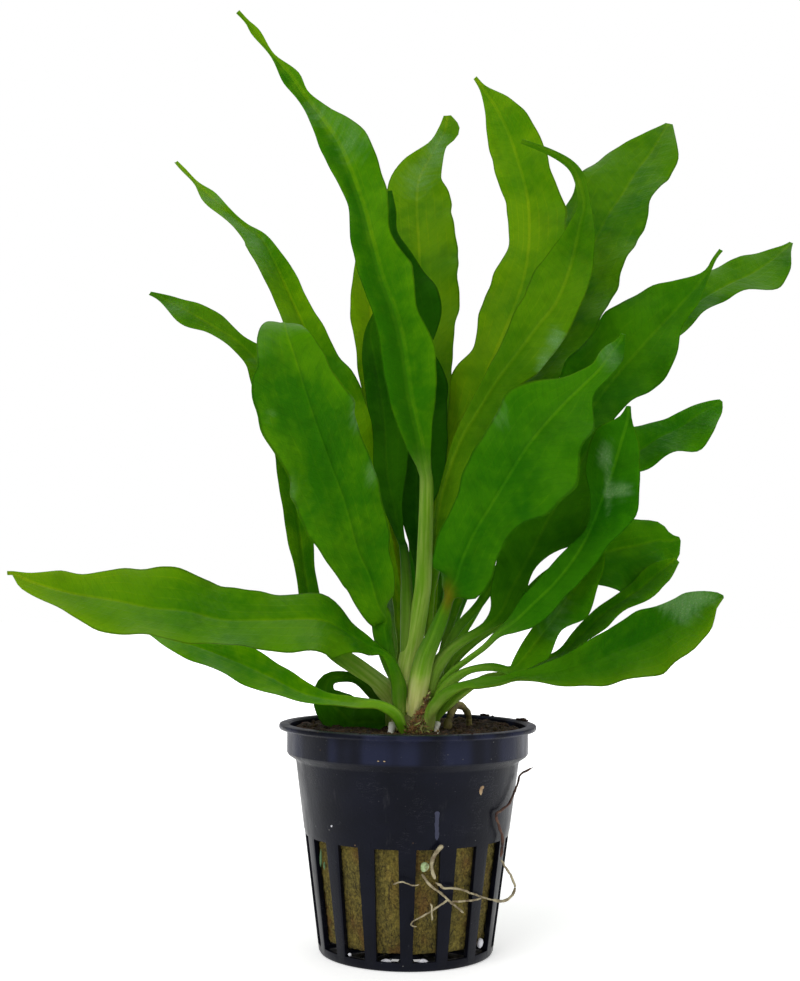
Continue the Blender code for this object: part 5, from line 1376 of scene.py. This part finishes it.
@dataclass
class Crown:
    """The fleshy stump between the sheaths, with the torn brown tissue of shed leaves.

    Attributes:
        chance: Random numbers for the torn tissue.
        shreds: How many shreds of it there are.
        steps: Segments round the stump.
    """

    chance: np.random.Generator
    shreds: int = 190
    steps: int = 40

    def core(self, skin: Skin) -> None:
        """Add the stump itself, with shallow lobes."""
        heights, radii = np.array(STUMP).T
        turn = turns(self.steps)
        rings = [
            crown_axis(height) + polar(radius * (1 + 0.07 * np.sin(5 * turn + height * 0.12)), turn)
            for height, radius in zip(heights, radii)
        ]
        paint = np.zeros((len(heights), self.steps, 4))
        paint[..., 0] = (2.0 - 1.4 * smooth_share(heights, 48, 58))[:, None]
        skin.loft(np.array(rings), paint)

    def scar(self, skin: Skin) -> None:
        """Add shreds of torn tissue down the front and round its foot."""
        path = np.array(SCAR)
        for number in range(self.shreds):
            x, y, z, spread = read_curve(path, np.array([5.0 * self.chance.uniform(0, 1) ** 0.75]))[0]
            offset = self.chance.normal(0, 1, 3) * spread * np.array([0.55, 0.25, 0.25])
            middle = np.array([x, y, z]) + offset
            white = number % 17 == 0
            paint = (1.6, 0.0 if white else self.chance.uniform(0.8, 1.0), 0, 0)
            if number % 4 == 0:
                crumb(skin, self.chance, tuple(middle), self.chance.uniform(0.14, 0.34), paint)
                continue
            run = unit(self.chance.normal(0, 1, 3) * np.array([1.0, 0.5, 0.8]))
            run = run * self.chance.uniform(0.9, 2.2)
            t = np.linspace(-0.5, 0.5, 5)[:, None]
            bend = self.chance.normal(0, 0.3, 3) * (0.25 - t**2)
            radii = self.chance.uniform(0.07, 0.16) * np.sqrt(1.02 - 4 * t[:, 0] ** 2 * 0.98)
            skin.loft(tube_rings(middle + run * t + bend, radii, 5), paint)

    def build(self) -> None:
        """Make the crown on its CAD node."""
        skin = Skin()
        self.core(skin)
        self.scar(skin)
        skin.piece("crown_stump", CrownFinish().material(), ("crown",))


@dataclass(frozen=True)
class PotFinish:
    """Satin blue-black plastic with specks of dried dirt, fine scratches and a painted bluish sheen on its
    collar.
    """

    def material(self) -> bpy.types.Material:
        """Build the pot's material."""
        made, graph, shader = new_material("pot plastic")
        place = graph.place()
        cloud = graph.noise(place, 9.0, 3.0)
        _, _, height_mm = graph.parts(place)
        # Painted reflection: bluish vertical bands of sheen on the collar.
        painted_collar_sheen = graph.band(graph.noise(graph.place((1.0, 1.0, 0.02)), 7.0, 1.0, 2.0), 0.42, 0.62)
        painted_collar_sheen = graph.times(painted_collar_sheen, graph.band(height_mm, COLLAR_BOTTOM, COLLAR_BOTTOM + 1.0))
        film = graph.noise(graph.place((1.0, 1.0, 0.25)), 2.6, 5.0, rough=0.65)
        spread = graph.band(graph.noise(place, 5.0, 4.0), 0.54, 0.66)
        bent = graph.noise(graph.place((0.16, 0.16, 1.0)), 0.5, 4.0, bend=1.5)
        patchy = graph.band(graph.noise(place, 5.0, 1.0, 4.0), 0.56, 0.66)
        scratch = graph.times(graph.line(bent, 0.5, 0.006), patchy)
        specks = []
        for size, limit, share, tint in SPECKS:
            speck = graph.band(graph.cells(place, size), limit, limit * 0.55)
            specks.append((graph.times(graph.times(speck, spread), share), tint))
        colour = graph.layered(
            graph.mix(graph.band(cloud, 0.35, 0.7), *POT_BLACK),
            # Painted reflection on the collar.
            (graph.times(painted_collar_sheen, 0.8), (0.012, 0.015, 0.038, 1.0)),
            (graph.band(film, 0.60, 0.80, 0.0, 0.35), (0.060, 0.060, 0.066, 1.0)),
            *specks,
            (graph.times(scratch, 0.5), (0.10, 0.10, 0.12, 1.0)),
        )
        graph.dress(
            shader,
            Base_Color=colour,
            Roughness=graph.total((graph.band(film, 0.35, 0.75, 0.27, 0.44), 1.0), (scratch, 0.2)),
            Specular_IOR_Level=0.12,
            Specular_Tint=(0.80, 0.84, 0.98, 1.0),
        )
        add_bump(graph, shader, graph.total((graph.noise(place, 0.5, 3.0), 1.0), (scratch, -0.3)), 0.035)
        return made


@dataclass(frozen=True)
class WoolFinish:
    """Damp rock wool: olive and golden fibre with painted shade along its cracks, and reddish specks."""

    def material(self) -> bpy.types.Material:
        """Build the wool's material."""
        made, graph, shader = new_material("rock wool")
        place = graph.place()
        soil, _, _, _ = graph.painted()
        mat = graph.noise(place, 1.6, 5.0, rough=0.7)
        strand = graph.noise(graph.place((2.2, 2.2, 0.8)), 0.8, 4.0, rough=0.7, bend=1.0)
        cloud = graph.noise(place, 7.0, 3.0)
        rust = graph.band(graph.noise(graph.place((1.0, 1.0, 0.5)), 3.4, 4.0, 3.0), 0.50, 0.68)
        gold = graph.band(graph.noise(graph.place((1.0, 1.0, 0.35)), 4.6, 3.0, 12.0), 0.50, 0.66, 0.0, 0.5)
        grit = graph.band(graph.noise(place, 0.42, 2.0, 4.0), 0.30, 0.70, 0.60, 1.42)
        split = graph.noise(graph.place((1.2, 1.2, 0.3)), 3.6, 3.0, 8.0, bend=0.8)
        # Painted shade: near-black lines where cracks in the fibre hold shadow.
        painted_crack_shade = graph.times(graph.line(split, 0.5, 0.018), graph.band(cloud, 0.46, 0.56))
        lump = graph.band(graph.noise(place, 2.8, 3.0, 5.0), 0.42, 0.60, 0.35, 1.25)
        fibre = graph.layered(
            graph.mix(graph.band(strand, 0.3, 0.72), *WOOL_OLIVE),
            (graph.band(cloud, 0.42, 0.68, 0.0, 0.45), (0.135, 0.120, 0.026, 1.0)),
            (graph.times(rust, 0.75), (0.125, 0.062, 0.014, 1.0)),
            (gold, (0.195, 0.155, 0.026, 1.0)),
            (1.0, graph.joined(grit, grit, grit), "MULTIPLY"),
            (graph.times(painted_crack_shade, 0.85), (0.010, 0.007, 0.003, 1.0)),
        )
        dark = graph.layered(
            graph.mix(graph.band(strand, 0.35, 0.7), *SOIL_BROWN),
            (1.0, graph.joined(lump, lump, lump), "MULTIPLY"),
        )
        graph.dress(
            shader,
            Base_Color=graph.mix(soil, fibre, dark),
            Roughness=graph.band(mat, 0.3, 0.7, 0.75, 0.95),
            Specular_IOR_Level=0.3,
        )
        add_bump(graph, shader, graph.maths("ADD", mat, strand), 0.45)
        return made


@dataclass(frozen=True)
class RootFinish:
    """Dry root skin.

    Attributes:
        name: The material's name.
        dull: Its darker colour.
        clean: Its paler colour.
        dirt: The colour of the soil stuck to it.
    """

    name: str
    dull: tuple
    clean: tuple
    dirt: tuple = (0.10, 0.060, 0.030, 1.0)

    def material(self) -> bpy.types.Material:
        """Build the root's material."""
        made, graph, shader = new_material(self.name)
        place = graph.place()
        cloud = graph.noise(place, 1.6, 4.0)
        stain = graph.band(graph.noise(place, 1.1, 4.0, 6.0), 0.56, 0.66)
        skin = graph.mix(graph.band(cloud, 0.35, 0.65), self.dull, self.clean)
        graph.dress(
            shader,
            Base_Color=graph.mix(graph.times(stain, 0.65), skin, self.dirt),
            Roughness=graph.band(cloud, 0.3, 0.7, 0.5, 0.75),
            Specular_IOR_Level=0.35,
        )
        add_bump(graph, shader, graph.noise(place, 0.3, 3.0), 0.10)
        return made


def wall_radius(height: float) -> float:
    """Outer radius of the tapered wall at a height."""
    return BASE_RADIUS + (WALL_TOP_RADIUS - BASE_RADIUS) * min(max(height / WALL_TOP, 0.0), 1.0)


@dataclass
class Pot:
    """The slotted net pot: a turned cup with rounded edges, cut by its slots.

    Attributes:
        steps: Segments round the axis.
        rounding: Width of the bevel on its sharp edges.
    """

    steps: int = 160
    rounding: float = 0.16

    def profile(self) -> list:
        """Radius and height of the cup's section, down its outside and up its inside."""
        lip, inner = LIP_RADIUS, COLLAR_RADIUS - COLLAR_THICKNESS
        top, under = POT_HEIGHT, POT_HEIGHT - LIP_THICKNESS
        wall_in = WALL_TOP_RADIUS - WALL_THICKNESS
        base_in = BASE_RADIUS - WALL_THICKNESS
        return [
            (lip - 0.45, top), (lip - 0.12, top - 0.12), (lip, top - 0.42), (lip, under + 0.25),
            (lip - 0.2, under), (COLLAR_RADIUS + 0.35, under), (COLLAR_RADIUS, under - 0.35),
            (COLLAR_RADIUS - 0.05, COLLAR_BOTTOM + 0.5), (COLLAR_RADIUS - 0.4, COLLAR_BOTTOM),
            (WALL_TOP_RADIUS + 0.25, WALL_TOP + 0.1), (WALL_TOP_RADIUS, WALL_TOP - 0.35),
            (wall_radius(25.6), 25.6), (wall_radius(25.2) - 0.08, 25.2),
            (BASE_RADIUS + 0.05, 0.5), (BASE_RADIUS - 0.18, 0.12), (BASE_RADIUS - 0.6, 0.0), (0.0, 0.0),
            (0.0, FLOOR_THICKNESS), (base_in - 0.4, FLOOR_THICKNESS), (base_in, FLOOR_THICKNESS + 0.4),
            (wall_in, WALL_TOP - 0.4), (wall_in + 0.4, COLLAR_BOTTOM - 0.4), (inner, COLLAR_BOTTOM + 0.5),
            (inner, top - 0.4), (inner + 0.35, top), (lip - 0.45, top),
        ]

    def cutter(self) -> bpy.types.Object:
        """One mesh of boxes, one for each slot in the wall and in the floor."""
        skin = Skin()
        for number in range(SLOT_COUNT):
            out = polar(1.0, 2 * math.pi * (number + 0.5) / SLOT_COUNT)
            across = np.cross((0.0, 0.0, 1.0), out)
            for half, near, far, low, high in (
                (SLOT_WIDTH / 2, BASE_RADIUS - 3.5, LIP_RADIUS, SLOT_BOTTOM, SLOT_TOP),
                (FLOOR_SLOT_WIDTH / 2, FLOOR_SLOT_INNER, FLOOR_SLOT_OUTER, -1.0, 1.6),
            ):
                corners = [
                    out * reach + across * half * way + np.array([0.0, 0.0, height])
                    for height in (low, high) for reach, way in ((near, -1), (far, -1), (far, 1), (near, 1))
                ]
                skin.loft(np.array(corners).reshape(2, 4, 3))
        return put("slots", skin.mesh("slots"))

    def build(self) -> None:
        """Make the pot on its CAD node."""
        outline = bpy.data.meshes.new("cup section")
        points = [(r * MM, 0.0, z * MM) for r, z in self.profile()]
        outline.from_pydata(points, [(n, n + 1) for n in range(len(points) - 1)], [])
        cup = put("cup", outline)
        screw = cup.modifiers.new("turn", "SCREW")
        screw.steps = screw.render_steps = self.steps
        screw.use_merge_vertices = True
        screw.merge_threshold = 0.00001
        slots = self.cutter()
        cup.modifiers.new("slots", "BOOLEAN").object = slots
        bevel = cup.modifiers.new("edges", "BEVEL")
        bevel.width = self.rounding * MM
        bevel.segments = 2
        bevel.limit_method = "ANGLE"
        bevel.angle_limit = math.radians(50)
        bevel.use_clamp_overlap = True
        graph = bpy.context.evaluated_depsgraph_get()
        mesh = bpy.data.meshes.new_from_object(cup.evaluated_get(graph))
        for item in (cup, slots):
            bpy.data.objects.remove(item, do_unlink=True)
        mesh.materials.clear()
        mesh.materials.append(PotFinish().material())
        mesh.shade_smooth()
        mesh.set_sharp_from_angle(angle=math.radians(32))
        pot = put("net_pot", mesh)
        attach(pot, BODY)
        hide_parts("pot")
        LOG.info("net_pot: %d faces", len(mesh.polygons))


def soil_height(x: Numbers, y: Numbers) -> Numbers:
    """Height of the wool's soiled top, with a hollow in front of the crown."""
    return SOIL_TOP - 1.3 * np.exp(-((x + 1.0) ** 2 / 34.0 + (y + 8.5) ** 2 / 20.0))


@dataclass
class RockWool:
    """The plug of rock wool with its loose fibres and the grains on its top.

    Attributes:
        chance: Random numbers for its surface.
        sides: Segments round the plug.
        fibres: How many loose fibres there are.
        crumbs: How many grains there are.
    """

    chance: np.random.Generator
    sides: int = 220
    fibres: int = 1500
    crumbs: int = 420

    def plug(self, skin: Skin) -> None:
        """Add the plug: rings up its side and in over its top, roughened."""
        turn = turns(self.sides)
        section = [(wall_radius(z) - 1.45, z) for z in np.linspace(PLUG_BOTTOM, 39.5, 52)]
        section += PLUG_SHOULDER
        section += [(radius, None) for radius in np.linspace(24.0, 0.8, 44)]
        waves = self.chance.uniform(0, 2 * math.pi, (9, 3))
        rings = []
        for radius, height in section:
            on_top = height is None
            phase = radius if on_top else height
            rough = np.zeros(self.sides)
            for a, b, c in waves:
                rough += np.sin(turn * np.round(5 + 3 * a) + phase * (0.5 + 0.35 * b) + c) / len(waves)
            rough += self.chance.normal(0, 0.16, self.sides)
            if on_top:
                ring = polar(radius, turn)
                ring[:, 2] = soil_height(ring[:, 0], ring[:, 1]) + np.clip(rough * 0.9, -0.5, 0.5)
            else:
                ring = polar(radius + np.minimum(rough * 0.55, 0.33), turn, height)
            rings.append(ring)
        paint = np.zeros((len(section), self.sides, 4))
        paint[..., 0] = [
            [0.95 if height is None or height > COLLAR_BOTTOM else 0.0] for _, height in section
        ]
        skin.loft(np.array(rings), paint)

    def strands(self, skin: Skin) -> None:
        """Add loose fibres on the plug's side and top."""
        for number in range(self.fibres):
            turn = self.chance.uniform(0, 2 * math.pi)
            on_top = number % 3 == 0
            length = self.chance.uniform(0.8, 3.0)
            if on_top:
                x, y, _ = polar(23.4 * math.sqrt(self.chance.uniform(0, 1)), turn)
                middle = np.array([x, y, soil_height(x, y) + 0.1])
                normal = np.array([0.0, 0.0, 1.0])
            else:
                height = self.chance.uniform(PLUG_BOTTOM + 0.5, 27)
                middle = polar(wall_radius(height) - 1.35, turn, height)
                normal = polar(1.0, turn)
            run = unit(np.cross(normal, self.chance.normal(0, 1, 3)))
            side = np.cross(normal, run)
            t = np.linspace(-0.5, 0.5, 5)[:, None]
            arch = normal * (0.28 - 1.1 * t**2 * self.chance.uniform(0.2, 1.0))
            line = middle + run * t * length + arch + side * self.chance.uniform(-1.2, 1.2) * t**2
            radii = np.maximum(0.045 * (1 - 1.6 * np.abs(t[:, 0])), 0.012)
            skin.loft(tube_rings(line, radii, 3), (0.55 if on_top else 0.0, 0, 0, 0))

    def grains(self, skin: Skin) -> None:
        """Add crumbs of soil on the plug's top and on the pot's rim."""
        for _ in range(self.crumbs):
            turn = self.chance.uniform(0, 2 * math.pi)
            x, y, _ = polar(23.8 * math.sqrt(self.chance.uniform(0, 1)), turn)
            size = self.chance.uniform(0.15, 0.6)
            soiled = (self.chance.uniform(0.7, 1.0), 0, 0, 0)
            crumb(skin, self.chance, (x, y, soil_height(x, y) + 0.3 * size), size, soiled)
        for x, y, size in RIM_CRUMBS:
            crumb(skin, self.chance, (x, y, POT_HEIGHT + 0.4 * size), size, (1.0, 0, 0, 0), (1.5, 1.0, 0.6))

    def build(self) -> None:
        """Make the plug on its CAD node."""
        skin = Skin()
        self.plug(skin)
        self.strands(skin)
        self.grains(skin)
        skin.piece("rock_wool_plug", WoolFinish().material(), ("rock_wool",), sharp=80)


@dataclass
class Roots:
    """The roots, stubs and the old stalk, as fine tapered tubes, and the green bud.

    Attributes:
        chance: Random numbers for their unevenness.
    """

    chance: np.random.Generator

    def root(self, name: str, radius: float, material: bpy.types.Material, slot: str) -> None:
        """Make one root on its CAD node.

        Args:
            name: The CAD node.
            radius: The root's radius.
            material: Its material.
            slot: Not used.
        """
        points = ROOTS[name][1]
        before, after = ROOT_ENDS.get(name, ([], []))
        rows, far, _ = even_curve(before + points + after, 0.22)
        share = far / far[-1]
        knots = 1 + 0.10 * np.sin(far * 2.1 + self.chance.uniform(0, 6))
        knots = knots + self.chance.normal(0, 0.04, len(far))
        ends = np.sqrt(np.clip(np.minimum(share, 1 - share) / 0.04, 0.06, 1.0))
        taper = 1.05 - 0.35 * share if len(points) > 3 else np.ones_like(share)
        wander = np.cumsum(self.chance.normal(0, 0.03, rows.shape), axis=0)
        wander -= np.linspace(0, 1, len(rows))[:, None] * wander[-1]
        skin = Skin()
        skin.loft(tube_rings(rows + wander, radius * knots * ends * taper, 10))
        skin.piece(f"{name}_skin", material, (name,))

    def bud(self) -> None:
        """Make the bud on its CAD node."""
        t = np.linspace(-1, 1, 15)
        line = np.array(BUD_PLACE) + t[:, None] * np.array([0.35, 0.0, 0.9])
        skin = Skin()
        skin.loft(tube_rings(line, 0.8 * np.sqrt(np.maximum(1 - t**2, 0.01)) * (1.0 + 0.2 * t), 20))
        green = RootFinish("bud", (0.20, 0.30, 0.11, 1.0), (0.42, 0.52, 0.30, 1.0)).material()
        skin.piece("root_bud_skin", green, ("root_bud",))

    def build(self) -> None:
        """Make all of them."""
        cream, brown, stalk, white = (
            RootFinish(*look).material()
            for look in (
                ("root cream", (0.17, 0.135, 0.075, 1.0), (0.40, 0.35, 0.22, 1.0)),
                ("root brown", (0.030, 0.013, 0.010, 1.0), (0.095, 0.042, 0.026, 1.0)),
                ("old stalk", (0.10, 0.085, 0.020, 1.0), (0.24, 0.20, 0.06, 1.0)),
                ("root white", (0.60, 0.60, 0.46, 1.0), (0.86, 0.86, 0.78, 1.0), (0.30, 0.24, 0.14, 1.0)),
            )
        )
        thick_and_look = {
            "root_loop": (1.0, cream, "root_aged"),
            "root_brown": (1.0, brown, "root_aged"),
            "old_stalk": (1.45, stalk, "root_aged"),
            "root_stub_left": (1.5, white, "root_pale"),
            "root_stub_right": (1.35, white, "root_pale"),
        }
        for name, (radius, _) in ROOTS.items():
            thick, material, slot = thick_and_look.get(name, (0.78, cream, "root_pale"))
            self.root(name, thick * radius, material, slot)
        self.bud()


@dataclass
class Dirt:
    """Flakes and scraps that stick to the pot.

    Attributes:
        chance: Random numbers for their forms.
    """

    chance: np.random.Generator

    def build(self) -> None:
        """Make one piece for each kind of flake."""
        for kind, (label, dull, clean, slot, flakes) in FLAKES.items():
            skin = Skin()
            for x, y, z, across, along, off in flakes:
                out = polar(1.0, math.atan2(y, x))
                side = np.cross((0.0, 0.0, 1.0), out)
                rings = []
                for height in (-1.0, -0.6, 0.1, 0.7, 1.0):
                    around = math.sqrt(1.04 - height**2) * self.chance.uniform(0.7, 1.1, 8)
                    wide, deep = polar(around, turns(8))[:, :2].T
                    ring = side * (across * wide)[:, None] + out * (off * deep)[:, None]
                    rings.append(np.array([x, y, z + along * height]) + ring)
                skin.loft(np.array(rings))
            skin.piece(kind, RootFinish(label, dull, clean, dull).material())


@dataclass(frozen=True)
class Studio:
    """The pale floor, the soft lights and the camera."""

    def floor(self) -> None:
        """Lay the floor under the pot."""
        mesh = bpy.data.meshes.new("floor")
        corners = [(x * FLOOR_REACH, y * FLOOR_REACH, 0) for x, y in ((-1, -1), (1, -1), (1, 1), (-1, 1))]
        mesh.from_pydata(corners, [], [(0, 1, 2, 3)])
        made, graph, shader = new_material("floor")
        away = graph.node("ShaderNodeVectorMath", operation="LENGTH")
        graph.feed(away.inputs[0], graph.place())
        graph.dress(
            shader,
            Base_Color=(0.93, 0.93, 0.93, 1.0),
            Roughness=0.9,
            Specular_IOR_Level=0.1,
            Emission_Color=WHITE,
            Emission_Strength=graph.band(away.outputs["Value"], 60, 600, AMBIENT, 1.0),
        )
        mesh.materials.append(made)
        plane = put("floor", mesh)
        plane.location.z = -0.00002

    def world(self) -> None:
        """Surround the scene with even pale light."""
        world = bpy.data.worlds.new("studio")
        world.use_nodes = True
        graph = Graph(world.node_tree)
        seen = graph.node("ShaderNodeLightPath").outputs["Is Camera Ray"]
        sky = world.node_tree.nodes["Background"]
        graph.dress(sky, Color=WHITE, Strength=graph.band(seen, 0.0, 1.0, AMBIENT, 1.0))
        bpy.context.scene.world = world

    def lights(self) -> None:
        """Hang the square soft lights, which point at the plant."""
        for name, place, power, size in LIGHTS:
            lamp = bpy.data.lights.new(name, "AREA")
            lamp.energy, lamp.size = power, size
            item = put(name, lamp)
            item.location = place
            aim = Vector(LIGHT_TARGET) - Vector(place)
            item.rotation_euler = aim.to_track_quat("-Z", "Y").to_euler()

    def camera(self) -> None:
        """Set the camera where the photograph was taken from."""
        lens = bpy.data.cameras.new("camera")
        lens.sensor_width = SENSOR_WIDTH
        lens.lens = FOCAL_PIXELS / PICTURE_HEIGHT * SENSOR_WIDTH
        lens.clip_start = 0.01
        item = put("camera", lens)
        item.location = [number * MM for number in CAMERA_PLACE]
        item.rotation_euler = (math.pi / 2 + CAMERA_PITCH, 0.0, 0.0)
        item.rotation_euler.rotate_axis("Z", CAMERA_ROLL)
        bpy.context.scene.camera = item

    def build(self) -> None:
        """Make the whole studio."""
        self.floor()
        self.world()
        self.lights()
        self.camera()
        bpy.context.scene.view_settings.view_transform = "Standard"


def main() -> None:
    """Build the studio and every piece of the plant."""
    logging.basicConfig(level=logging.INFO, format="%(name)s: %(message)s")
    Studio().build()
    Pot().build()
    RockWool(np.random.default_rng(5)).build()
    Crown(np.random.default_rng(7)).build()
    Foliage(tissue_group(veins_group())).build()
    Roots(np.random.default_rng(3)).build()
    Dirt(np.random.default_rng(9)).build()


if __name__ == "__main__":
    main()
